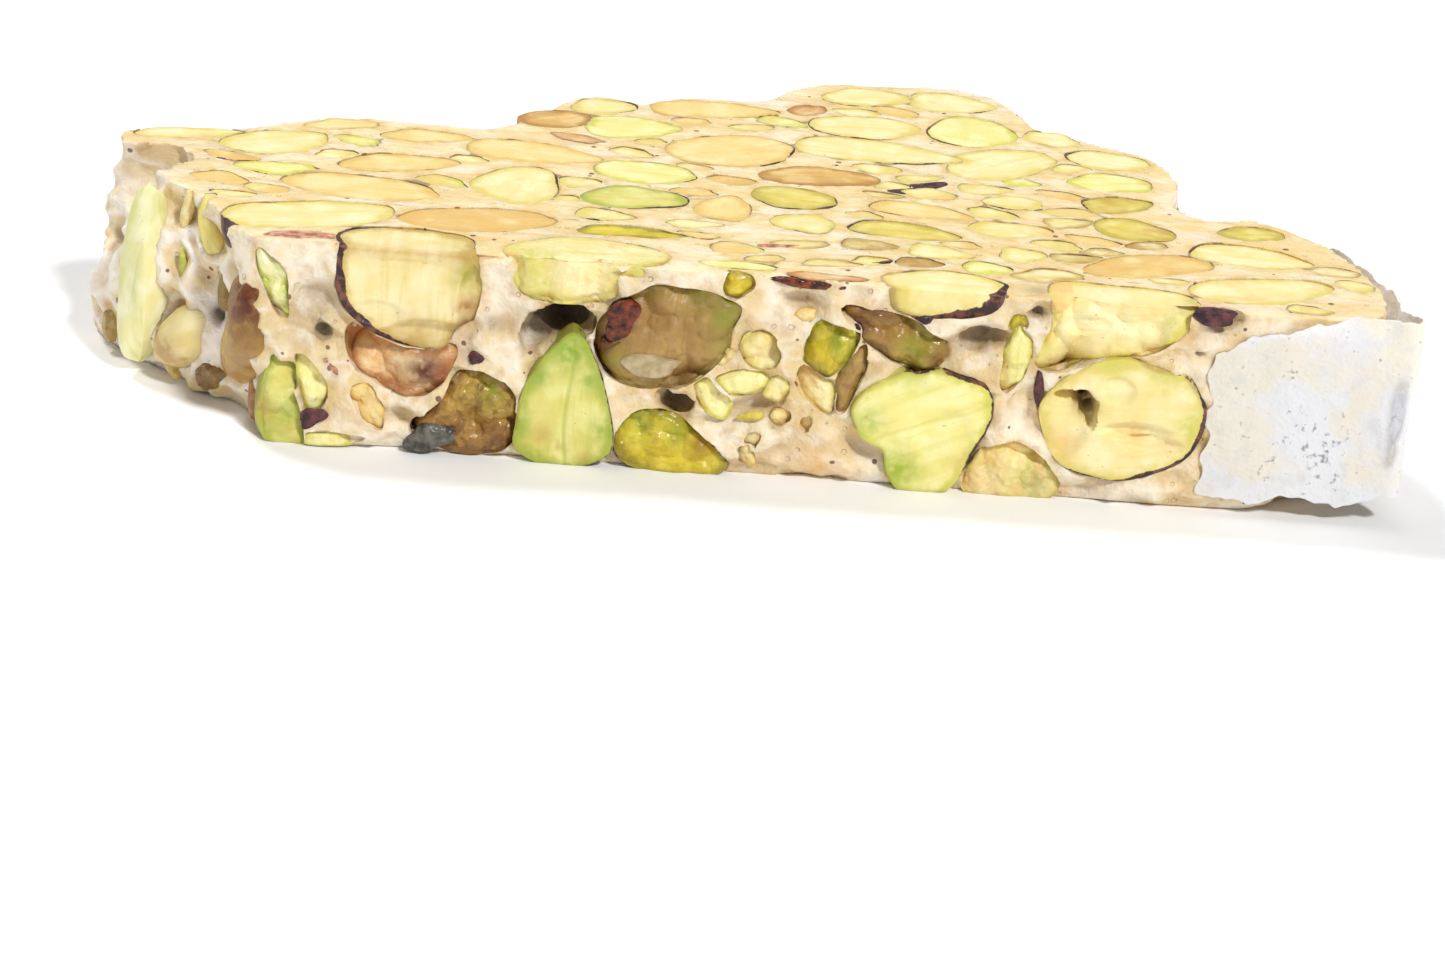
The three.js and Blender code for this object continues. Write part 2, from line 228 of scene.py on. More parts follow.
# Smaller kernels and broken bits between them: the face, then the same as above.
SMALL_KERNELS = (
    (Face.TOP, 0, 19.6, 8, 3.6, 6, -0.5, "lime"),
    (Face.TOP, 4.5, 34.8, 7, 3.8, 18, -0.5, "tan"),
    (Face.TOP, 32, 9, 9, 3.4, 2, -0.5, "olive"),
    (Face.TOP, 37.5, 12.6, 5.4, 2, 4, -0.3, "pale"),
    (Face.TOP, 67, 26, 5.4, 4.5, 10, -0.5, "pale"),
    (Face.TOP, 72.3, 48.2, 5.4, 5.2, 0, -0.5, "pale"),
    (Face.TOP, 66.4, 10.9, 4.6, 4, 15, -0.5, "pale"),
    (Face.TOP, 59, 9.8, 5.4, 4, -10, -0.5, "pale"),
    (Face.TOP, 47.3, 15.2, 6, 5.2, 30, -0.5, "pale"),
    (Face.TOP, 41.6, 2.2, 6.4, 2.2, -4, -0.3, "lime"),
    (Face.TOP, 49.4, 4.6, 5, 2.2, 8, -0.3, "cream"),
    (Face.TOP, 48.8, 0.9, 7.4, 1.7, -2, -0.3, "amber"),
    (Face.TOP, 26.4, 36, 5, 3, -20, -0.4, "amber"),
    (Face.TOP, 48.4, 51.8, 4.6, 3.4, 60, -0.5, "amber"),
    (Face.TOP, 12.4, 33, 8.6, 4, 2, -0.5, "tan"),
    (Face.TOP, 71.4, 21.2, 4.6, 3.2, 20, -0.4, "cream"),
    (Face.TOP, 46.8, 9.2, 5.6, 2.4, 12, -0.4, "cream"),
    (Face.TOP, 68.4, 5.6, 6.4, 4, 10, -0.5, "cream"),
    (Face.FRONT, 9.8, 4, 4.4, 2.3, -55, -0.1, "tan"),
    (Face.FRONT, 4, 5.6, 4.8, 2.5, 95, -0.2, "lime"),
    (Face.FRONT, 4.4, 0.8, 6, 1.5, 2, -0.1, "lime"),
    (Face.FRONT, 43.8, 11.8, 4, 3.5, 10, -0.3, "pale"),
    (Face.FRONT, 40, 7.4, 4.4, 2.2, -52, 0, "lime"),
    (Face.FRONT, 42.4, 8.6, 4.4, 2, 20, 0, "lime"),
    (Face.FRONT, 45.4, 8.3, 2.6, 1.9, 44, 0, "pale"),
    (Face.FRONT, 43.6, 5.6, 2.3, 1.1, 12, 0, "golden"),
    (Face.FRONT, 48.3, 5.4, 1.8, 1.3, 80, -0.1, "tan"),
    (Face.FRONT, 43.4, 2, 2.4, 1.5, -60, -0.1, "tan"),
    (Face.FRONT, 47.5, 15.2, 1.6, 1.4, 20, -0.1, "tan"),
    (Face.FRONT, 48.7, 8.7, 4, 2.4, -40, -0.1, "pale"),
    (Face.FRONT, 40.8, 10.9, 1.8, 1.3, 30, -0.1, "pale"),
    (Face.FRONT, 46.6, 12, 1.6, 1.2, -20, -0.1, "pale"),
    (Face.FRONT, 46.2, 5.8, 2.2, 1.4, 10, -0.1, "tan"),
    (Face.FRONT, 43.8, 3.4, 2, 1.4, 60, 0, "cream"),
    (Face.FRONT, 51.7, 9.9, 6.6, 2.2, 76, -0.1, "taupe"),
    (Face.FRONT, 41.5, 17.4, 2.9, 2.2, 10, 0, "olive"),
    (Face.FRONT, 65.7, 12.6, 5.6, 2.6, 82, -0.1, "lime"),
    (Face.FRONT, 65.6, 15.9, 1.8, 1.5, 70, 0, "olive"),
    (Face.FRONT, 2, 14.4, 6.2, 2.7, 112, -0.1, "leaf"),
    (Face.LEFT, 292.5, 2.3, 4.6, 3.4, 24, -0.5, "umber"),
    (Face.LEFT, 298, 2.4, 4.4, 1.5, 104, -0.2, "amber"),
    (Face.LEFT, 278.6, 2.6, 3, 2, 100, -0.3, "cream"),
    (Face.LEFT, 290.6, 11.2, 4, 0.8, 105, -0.1, "green"),
    (Face.LEFT, 295.6, 11.2, 4.6, 2.4, 70, -0.7, "taupe"),
    (Face.LEFT, 288, 3.2, 5, 1.8, 128, -0.2, "cream"),
)

# Gaps filled by chance: the face, the most kernels, their range along and up it, and the finishes.
FILLS = (
    (Face.TOP, 50, (-10, 96), (1, 62), ("pale", "tan", "cream", "lime", "pale")),
    (Face.BASE, 46, (-10, 96), (2, 62), ("pale", "tan", "lime", "pale", "olive", "green")),
    (Face.BACK, 22, (128, 256), (3.5, 15), ("pale", "tan", "lime", "umber", "green", "amber")),
)
SPOTS = 900  # places tried on a face
LEAST_ROOM = 0.8  # a gap smaller than this stays empty, and none is nearer the plan's edge

# Scraps of the kernels' own skin and of scorched syrup.
SCRAPS = (
    (Face.TOP, 58, 28.6, 7.4, 2.4, 34, -0.1, "skin"),
    (Face.TOP, 44.6, 8.2, 3.4, 1.1, 14, -0.1, "blush"),
    (Face.TOP, 54.6, 6.3, 4.4, 0.7, 24, 0, "skin"),
    (Face.TOP, 5.4, 1.5, 8.6, 2, 4, 0.1, "blush"),
    (Face.FRONT, 2.8, 2.7, 2.9, 1.5, 20, 0, "skin"),
    (Face.FRONT, 6.2, 7.2, 3.2, 0.8, -52, -0.1, "blush"),
    (Face.FRONT, 16.1, 1.5, 4.6, 2.4, 14, -0.2, "slate"),
    (Face.FRONT, 19.7, 9.1, 1.4, 1.2, 40, -0.1, "skin"),
    (Face.FRONT, 31.9, 13.8, 3.7, 2.7, 60, 0.35, "scorch"),
    (Face.FRONT, 30.7, 11.7, 1.1, 0.8, 20, 0.3, "scorch"),
    (Face.FRONT, 57.6, 15.6, 1.5, 1.1, 0, -0.1, "skin"),
    (Face.FRONT, 68, 9.9, 4.2, 0.8, -82, 0, "skin"),
    (Face.FRONT, 82.1, 18, 3.4, 2, 4, 0, "skin"),
    (Face.FRONT, 47.4, 18, 7, 0.7, -3, 0.1, "scorch"),
    (Face.FRONT, 34.6, 9.7, 4.6, 2.4, 2, 0.1, "film"),
    (Face.LEFT, 296.6, 6.7, 3, 2, 70, -0.4, "slate"),
    (Face.LEFT, 289.6, 16.8, 4.4, 1.1, 74, 0, "shred"),
)

# Measured outlines of kernels: X and Z round those in the front face, X and Y on the cut face,
# run and height on the left wall.
OUTLINES = {
    "front_01": (
        (68.7, 9.1), (70.8, 11.6), (73, 12.7), (75.5, 13), (77.9, 12.4), (80, 11.9), (81.8, 9.4),
        (81.8, 7.1), (80.8, 5.1), (77.2, 3.2), (74.4, 2.7), (71, 3.8), (69.1, 6.4)),
    "front_02": (
        (67.8, 13.3), (68.8, 15.8), (68.6, 18.4), (73, 19.6), (79, 19.4), (79.8, 17.6), (79.2, 16),
        (77.4, 14.5), (74.6, 13.5), (71.6, 12.4), (68.4, 12.2)),
    "front_03": (
        (8, 18.4), (7.8, 15.6), (8.4, 12.9), (10.9, 11), (14.4, 9.9), (16.4, 10), (17.4, 11.9),
        (18.7, 12.6), (19.2, 14.9), (18.9, 17), (17.4, 19), (12, 20)),
    "front_04": (
        (9, 10.7), (9.1, 8.1), (10.2, 6.9), (13.1, 5.4), (15.9, 5.7), (17, 7.4), (17.4, 9.6), (13, 10.8)),
    "front_05": (
        (14.7, 2.2), (16.9, 5.1), (18.4, 7.2), (20.2, 7.8), (22.4, 7), (23.2, 5), (22.8, 1.6),
        (20.4, 0.4), (16.4, 1)),
    "front_06": (
        (27.7, 11.9), (29.1, 10.6), (30.7, 7), (31.5, 3.8), (31.3, 1.6), (29, 0.2), (25.6, 0.3),
        (23.4, 1.7), (23.4, 4), (24.3, 7.4), (26.1, 10.6)),
    "front_07": (
        (30, 11.4), (31, 14.4), (33, 16), (36, 16.5), (40.3, 15.9), (41.6, 15), (40.8, 13), (40.8, 11.6),
        (38.6, 9), (36, 7.8), (32.6, 8.1), (30.6, 9.6)),
    "front_08": (
        (32.3, 3.2), (33.4, 5.1), (35.8, 5.3), (39.2, 3.6), (41.4, 1.7), (40, -0.2), (35, 0.1),
        (32.6, 1.2)),
    "front_09": (
        (47.6, 11.2), (48, 13.4), (49, 14.6), (51.9, 14.1), (51.2, 11.4), (49.8, 9.9), (48.4, 10.6)),
    "front_10": (
        (50.6, 16.1), (53.1, 15.9), (56.7, 15.2), (59, 13.7), (59.4, 12.4), (57.4, 11.1), (54, 12.4),
        (51.6, 14.4)),
    "front_11": (
        (52.3, 7), (53.7, 9.1), (57, 10.9), (61, 10.7), (63.4, 9.9), (63.9, 7.8), (62.4, 3.6),
        (60.6, 0.6), (57.3, 0), (55.7, 1.6), (55.2, 3.6), (53.4, 4.7)),
    "front_12": (
        (62.6, 0.6), (63, 3), (64.4, 4.7), (66.3, 5.1), (69, 3.6), (70.3, 1.4), (69, 0), (65, -0.2)),
    "front_13": (
        (301.8, 7.4), (303.7, 7.9), (303.8, 5.6), (304, 3.2), (304, -0.6), (302, 0), (299.8, 0.8),
        (299.8, 3.4)),
    "left_01": (
        (286.2, 18.4), (287.3, 18), (287.8, 15.2), (288.3, 12.8), (288.7, 10.4), (288.3, 7),
        (286.4, 2.8), (284.9, 1), (283.4, 1.6), (283, 5), (283.1, 9.4), (283.6, 12.4), (284.8, 15.4)),
    "left_03": (
        (299.2, 13.8), (302.2, 14.8), (303.8, 13.2), (304, 10.8), (303, 8.4), (298.6, 4.4), (296.6, 3.2),
        (294.8, 3.8), (295.2, 5.6), (297.4, 8), (298.8, 10.6)),
    "left_02": (
        (288.6, 6.6), (290.8, 8.2), (292.9, 8.2), (292.8, 6), (291.6, 3.4), (289.6, 1.8), (286.6, 1.8),
        (286.8, 3.6)),
    "top_04": (
        (-2.6, 4.8), (-2.4, 7.8), (1, 9.6), (6.4, 11.2), (10.4, 11), (11.2, 8.8), (8.8, 5.2), (6, 4),
        (2.6, 3), (-0.2, 2.6)),
    "small_19": (
        (4.5, 8.1), (5.1, 8), (6.7, 6.1), (6.9, 4.9), (6.4, 3.9), (5.5, 3.2), (4.7, 3.8), (4.6, 5.9)),
    "small_21": (
        (42.2, 12.3), (43, 13.2), (44.3, 13.3), (45.4, 12.4), (45.6, 11.1), (44.6, 10.2), (42.9, 10.3)),
    "small_22": ((38.3, 8.5), (39, 9.2), (40.1, 8.4), (41.6, 6.8), (41.3, 5.3), (40.3, 5.5), (38.9, 6.5)),
    "small_23": (
        (40.1, 8.8), (41.9, 9.5), (44, 10.1), (44.5, 9.3), (44.2, 8.4), (43.2, 7.5), (40.8, 7.9)),
    "small_24": ((44.9, 9.1), (45.7, 9.6), (46.4, 8.3), (45.9, 7.1), (44.9, 7.3), (44.4, 8)),
    "small_29": ((46.9, 9.8), (48, 10.8), (49.8, 9.4), (50.4, 8.1), (50, 6.7), (48.6, 7.3), (47.4, 8.4)),
    "small_38": (
        (0.6, 17.2), (1.4, 17), (3.1, 15.2), (3.3, 12.9), (3.4, 11.6), (2.6, 11.9), (1.8, 13.2),
        (0.8, 15.8)),
}

# Hollows that open on the surface: centre and three half sizes.
HOLLOWS = (
    ((26.7, 1, 12.9), (3, 5.6, 1.7)),
    ((24.3, 0.4, 11.2), (1.4, 3.6, 1.5)),
    ((-13, 20.6, 17.2), (5.4, 4.4, 5.4)),
    ((62.9, -0.2, 14.3), (2.1, 2.2, 1.2)),
    ((66.9, -0.4, 17), (1, 2.2, 0.6)),
    ((82.8, 0, 17.6), (1.8, 1.2, 1.2)),
    ((5, -0.7, 12.7), (2, 1.3, 2.7)),
    ((6.5, -0.4, 10.5), (0.7, 1.9, 0.9)),
    ((37.1, -0.4, 6.5), (2.2, 3.4, 0.85)),
    ((81.1, -0.3, 14.4), (0.8, 1.2, 0.6)),
    ((49.2, -1, -0.2), (5, 2.2, 1.8)),
    ((95, 0.5, -0.4), (8, 4.5, 2.6)),
    ((16.9, -0.2, 10.3), (0.7, 0.9, 0.5)),
    ((-3.4, 7.6, 8.3), (0.9, 1.2, 1)),
    ((-2.6, 7, 11.4), (1.6, 1.6, 2)),
    ((-1, 4.4, 6.6), (1.2, 1.6, 1.6)),
    ((-7.2, 11.2, 5.4), (2.6, 2, 3)),
    ((3.2, -0.4, 10.6), (0.5, 1, 0.4)),
)

# Grey bruises, which also paint shade in and round the hollows, scorched spots, oily places and painted
# shade deep in the hollows: centre, reach, kind and strength.
GREY_AND_SHADE, SCORCH, OIL, DEPTH_SHADE = 0, 1, 2, 3
STAINS_AND_SHADE = (
    ((5.2, 0, 12.2), 2.8, GREY_AND_SHADE, 0.45),
    ((6.5, 0, 10.5), 1.1, GREY_AND_SHADE, 0.9),
    ((20.7, 0, 12.3), 1, GREY_AND_SHADE, 0.7),
    ((-12.4, 20, 16.4), 4.6, GREY_AND_SHADE, 0.7),
    ((-1.2, 4.6, 6.8), 1.2, GREY_AND_SHADE, 0.6),
    ((26.6, 0, 11.4), 1.8, GREY_AND_SHADE, 0.3),
    ((-4, 25.4, 18.4), 2.6, GREY_AND_SHADE, 0.6),
    ((82.1, 0, 17.8), 1.6, SCORCH, 0.7),
    ((18, 0, 10.9), 1.7, SCORCH, 0.25),
    ((49.4, 0, 1), 3.4, OIL, 0.9),
    ((88, 0, 0.6), 6, OIL, 0.4),
    ((80, 0, 1.2), 5, OIL, 0.2),
    ((97, 12, 18.5), 5, OIL, 0.8),
    ((84, 14, 18.5), 20, OIL, 0.35),
    ((26.7, 5, 12.8), 4.6, DEPTH_SHADE, 1.0),
    ((37.1, 2.6, 6.5), 1.9, DEPTH_SHADE, 1.0),
    ((62.9, 2, 14.3), 2, DEPTH_SHADE, 0.8),
    ((66.9, 1.6, 17), 1.7, DEPTH_SHADE, 1.0),
    ((81.1, 0.8, 14.4), 0.8, DEPTH_SHADE, 0.6),
    ((-12.4, 21.4, 17), 3, DEPTH_SHADE, 0.3),
    ((6.5, 1, 10.5), 1, DEPTH_SHADE, 0.9),
    ((3.2, 0.6, 10.6), 0.7, DEPTH_SHADE, 0.9),
    ((-3, 8.4, 8.3), 1.3, DEPTH_SHADE, 1.0),
    ((-1.6, 7.6, 11.4), 1.8, DEPTH_SHADE, 0.7),
    ((-8.2, 11.8, 5.4), 1.5, DEPTH_SHADE, 0.9),
)


def linear(hex_colour: str) -> tuple[float, float, float, float]:
    """Turn an sRGB hex colour to linear.

    Args:
        hex_colour: Six hex digits after a hash.

    Returns:
        Red, green, blue and alpha.
    """
    channels = [int(hex_colour[i:i + 2], 16) / 255 for i in (1, 3, 5)]
    curve = [c / 12.92 if c <= 0.04045 else ((c + 0.055) / 1.055) ** 2.4 for c in channels]
    return (*curve, 1.0)


def per_mm(size: float) -> float:
    """Scale of a pattern on Object coordinates whose lumps are this many millimetres across."""
    return 1 / (size * MM)


class Kind(Enum):
    """The nodes in use, each a type and its usual settings."""

    ATTRIBUTE = ("Attribute", {})
    PLACE = ("TexCoord", {})
    MAPPING = ("Mapping", {})
    AXES = ("SeparateXYZ", {})
    CHANNELS = ("SeparateColor", {})
    VECTOR = ("CombineXYZ", {})
    PLUS = ("Math", {"operation": "ADD"})
    MINUS = ("Math", {"operation": "SUBTRACT"})
    TIMES = ("Math", {"operation": "MULTIPLY"})
    SCALED = ("Math", {"operation": "MULTIPLY_ADD"})
    MOST = ("Math", {"operation": "MAXIMUM"})
    SINE = ("Math", {"operation": "SINE"})
    UNSIGNED = ("Math", {"operation": "ABSOLUTE"})
    APART = ("VectorMath", {"operation": "DISTANCE"})
    RAMP = ("MapRange", {"interpolation_type": "SMOOTHSTEP"})
    STRAIGHT_RAMP = ("MapRange", {})
    BLEND = ("Mix", {"data_type": "RGBA"})
    NOISE = ("TexNoise", {})
    CELLS = ("TexVoronoi", {})
    CRACKS = ("TexVoronoi", {"feature": "DISTANCE_TO_EDGE"})
    BUMP = ("Bump", {})
    SHADER = ("BsdfPrincipled", {})
    OUTPUT = ("OutputMaterial", {})


def add_node(tree: bpy.types.NodeTree, kind: Kind, *values: Any, settings: Optional[dict] = None,
             inputs: Optional[dict] = None) -> bpy.types.Node:
    """Add a node with its settings and links.

    Args:
        tree: Node tree of the material.
        kind: The node's type and usual settings.
        values: What its inputs in use get, in their order: a value, a hex colour, a socket or a node.
        settings: Further properties of the node.
        inputs: What inputs get by name.

    Returns:
        The new node.
    """
    name, usual = kind.value
    made = tree.nodes.new(f"ShaderNode{name}")
    for key, value in {**usual, **(settings or {})}.items():
        setattr(made, key, value)
    wanted = list(zip([socket for socket in made.inputs if socket.enabled], values))
    wanted += [(made.inputs[key], value) for key, value in (inputs or {}).items()]
    for socket, value in wanted:
        if isinstance(value, bpy.types.Node):
            value = next(output for output in value.outputs if output.enabled)
        if isinstance(value, bpy.types.NodeSocket):
            tree.links.new(value, socket)
        else:
            socket.default_value = linear(value) if isinstance(value, str) else value
    return made


def blank_material(name: str) -> tuple[bpy.types.Material, Callable[..., bpy.types.Node]]:
    """Make a material without nodes.

    Args:
        name: The material's name.

    Returns:
        The material, and add_node for its tree.
    """
    made = bpy.data.materials.new(name)
    made.use_nodes = True
    made.node_tree.nodes.clear()
    return made, partial(add_node, made.node_tree)


def lumps(points: np.ndarray, size: float, seed: float = 0.0) -> np.ndarray:
    """Smooth noise at each point.

    Args:
        points: Places, one a row.
        size: Width of a lump, in the points' unit.
        seed: Moves the pattern.

    Returns:
        One value a point, about -1 to 1.
    """
    shifted = points / size + seed * SEED_SHIFT
    return NOISE_GAIN * np.array([noise.noise(p) for p in shifted.tolist()])


def layered(points: np.ndarray, layers: Iterable[tuple]) -> np.ndarray:
    """Add up layers of smooth noise.

    Args:
        points: Places, one a row.
        layers: Height, width of a lump and seed of each.

    Returns:
        One value a point.
    """
    return sum(height * lumps(points, width, seed) for height, width, seed in layers)


def points_of(mesh: bpy.types.Mesh, field_name: str = "co") -> np.ndarray:
    """Read the mesh's vertices, or their normals.

    Args:
        mesh: The mesh.
        field_name: "co" for the vertices, "vector" for their normals.

    Returns:
        One vertex or normal a row.
    """
    source = mesh.vertices if field_name == "co" else mesh.vertex_normals
    values = np.empty(len(mesh.vertices) * 3)
    source.foreach_get(field_name, values)
    return values.reshape(-1, 3)


def move_points(mesh: bpy.types.Mesh, points: np.ndarray) -> bpy.types.Mesh:
    """Move the mesh's vertices.

    Args:
        mesh: The mesh.
        points: New places, one a row.

    Returns:
        The same mesh.
    """
    mesh.vertices.foreach_set("co", points.ravel())
    mesh.update()
    return mesh


def finished(bm: bmesh.types.BMesh, name: str) -> bpy.types.Mesh:
    """Turn a bmesh into a mesh and free it.

    Args:
        bm: The bmesh.
        name: The mesh's name.

    Returns:
        The mesh.
    """
    mesh = bpy.data.meshes.new(name)
    bm.to_mesh(mesh)
    bm.free()
    return mesh


def cad_box_here() -> tuple[np.ndarray, np.ndarray]:
    """Corners of the model's box in millimetres of the slice."""
    low, high = (np.array(c) / MM - CORNER for c in cad_box)
    return low, high


def smoothstep(low: float, high: float, value: np.ndarray) -> np.ndarray:
    """A smooth step from 0 at low to 1 at high."""
    t = np.clip((value - low) / (high - low), 0, 1)
    return t * t * (3 - 2 * t)


def closed_curve(corners: np.ndarray, t: np.ndarray) -> np.ndarray:
    """Points of a closed centripetal Catmull-Rom curve.

    Args:
        corners: The curve's corners, one a row.
        t: Places on the curve, 0 to 1 all the way round.

    Returns:
        One point a place.
    """
    count = len(corners)
    along = (t % 1.0) * count
    first = np.floor(along).astype(int)
    w = (along - first)[:, None]
    p0, p1, p2, p3 = (corners[(first + k) % count] for k in (-1, 0, 1, 2))
    d0, d1, d2 = (np.linalg.norm(b - a, axis=1)[:, None] ** 0.5 for a, b in ((p0, p1), (p1, p2), (p2, p3)))
    m1 = ((p1 - p0) / d0 - (p2 - p0) / (d0 + d1) + (p2 - p1) / d1) * d1
    m2 = ((p2 - p1) / d1 - (p3 - p1) / (d1 + d2) + (p3 - p2) / d2) * d1
    return p1 + m1 * w + (3 * (p2 - p1) - 2 * m1 - m2) * w**2 + (2 * (p1 - p2) + m1 + m2) * w**3


@dataclass
class Seat:
    """A point of a face and the directions along, up and out of it."""

    point: np.ndarray
    along: np.ndarray
    up: np.ndarray
    out: np.ndarray


class SlicePlan:
    """The plan of the slice and the wall that stands on it."""

    def __init__(self) -> None:
        self.corners = np.array(PLAN, float)
        self.steps = np.linspace(0, 1, ARC_DIVISIONS + 1)
        chords = np.diff(closed_curve(self.corners, self.steps), axis=0)
        self.runs = np.concatenate([[0], np.cumsum(np.linalg.norm(chords, axis=1))])
        self.length = self.runs[-1]

    def wall(self, run: np.ndarray, z: np.ndarray) -> tuple[np.ndarray, np.ndarray]:
        """Points of the wall and the directions out of it.

        Args:
            run: Runs round the plan.
            z: Heights.

        Returns:
            Points and directions, one a row.
        """
        t = np.interp(run % self.length, self.runs, self.steps)
        flat = closed_curve(self.corners, t)
        ahead = closed_curve(self.corners, t + 1e-4) - closed_curve(self.corners, t - 1e-4)
        ahead /= np.linalg.norm(ahead, axis=1)[:, None]
        head = np.column_stack([flat, z])
        point = head.copy()
        for at, step, reach in BULGES:
            near = np.exp(-((head - np.array(at)) ** 2).sum(1) / reach**2)
            point[:, :2] += np.array(step) * near[:, None]
        out = np.column_stack([ahead[:, 1], -ahead[:, 0], np.zeros(len(z))])
        return point, out

    def depth_in(self, points: np.ndarray) -> np.ndarray:
        """Measure how far inside the plan each point lies.

        Args:
            points: Places, one a row.

        Returns:
            Distances from the plan's edge, below 0 outside it.
        """
        edge = closed_curve(self.corners, np.linspace(0, 1, PLAN_DIVISIONS))
        ahead = np.roll(edge, -1, axis=0) - edge
        crossing = np.zeros(len(points), int)
        for a, step in zip(edge, ahead):
            past = (points[:, 1] >= a[1]) != (points[:, 1] >= a[1] + step[1])
            at = a[0] + step[0] * (points[:, 1] - a[1]) / (step[1] or 1)
            crossing += past & (at > points[:, 0])
        away = np.array([np.hypot(*(edge - p[:2]).T).min() for p in points])
        return np.where(crossing % 2, away, -away)

    def ripple(self, run: np.ndarray, z: np.ndarray) -> np.ndarray:
        """Work out how far the torn wall swells out.

        Args:
            run: Runs round the plan.
            z: Heights.

        Returns:
            One distance a place.
        """
        turn = 2 * math.pi * run / self.length
        swell = np.sin(SWELLS * turn + 0.5 * z) + 0.8 * np.sin(LONG_SWELLS * turn - 0.7 * z + 1.3)
        start, end = PAPERED_RUN
        smooth = smoothstep(start - 3, start, run) * (run < end)
        return RIPPLE * swell * np.sin(math.pi * z / THICKNESS) * (1 - smooth)

    def seat(self, face: Face, u: float, v: float) -> Seat:
        """Where a kernel sits on a face.

        Args:
            face: The face.
            u: X on a cut face, run on the wall.
            v: Y on a cut face, height on the wall.

        Returns:
            The point and its directions.
        """
        if face is Face.TOP:
            return Seat(np.array([u, v, THICKNESS]), np.eye(3)[0], np.eye(3)[1], np.eye(3)[2])
        if face is Face.BASE:
            return Seat(np.array([u, v, 0.0]), np.eye(3)[0], -np.eye(3)[1], -np.eye(3)[2])
        point, out = self.wall(np.array([float(u)]), np.array([float(v)]))
        up = np.array([0.0, 0.0, 1.0])
        return Seat(point[0], np.cross(up, out[0]), up, out[0])


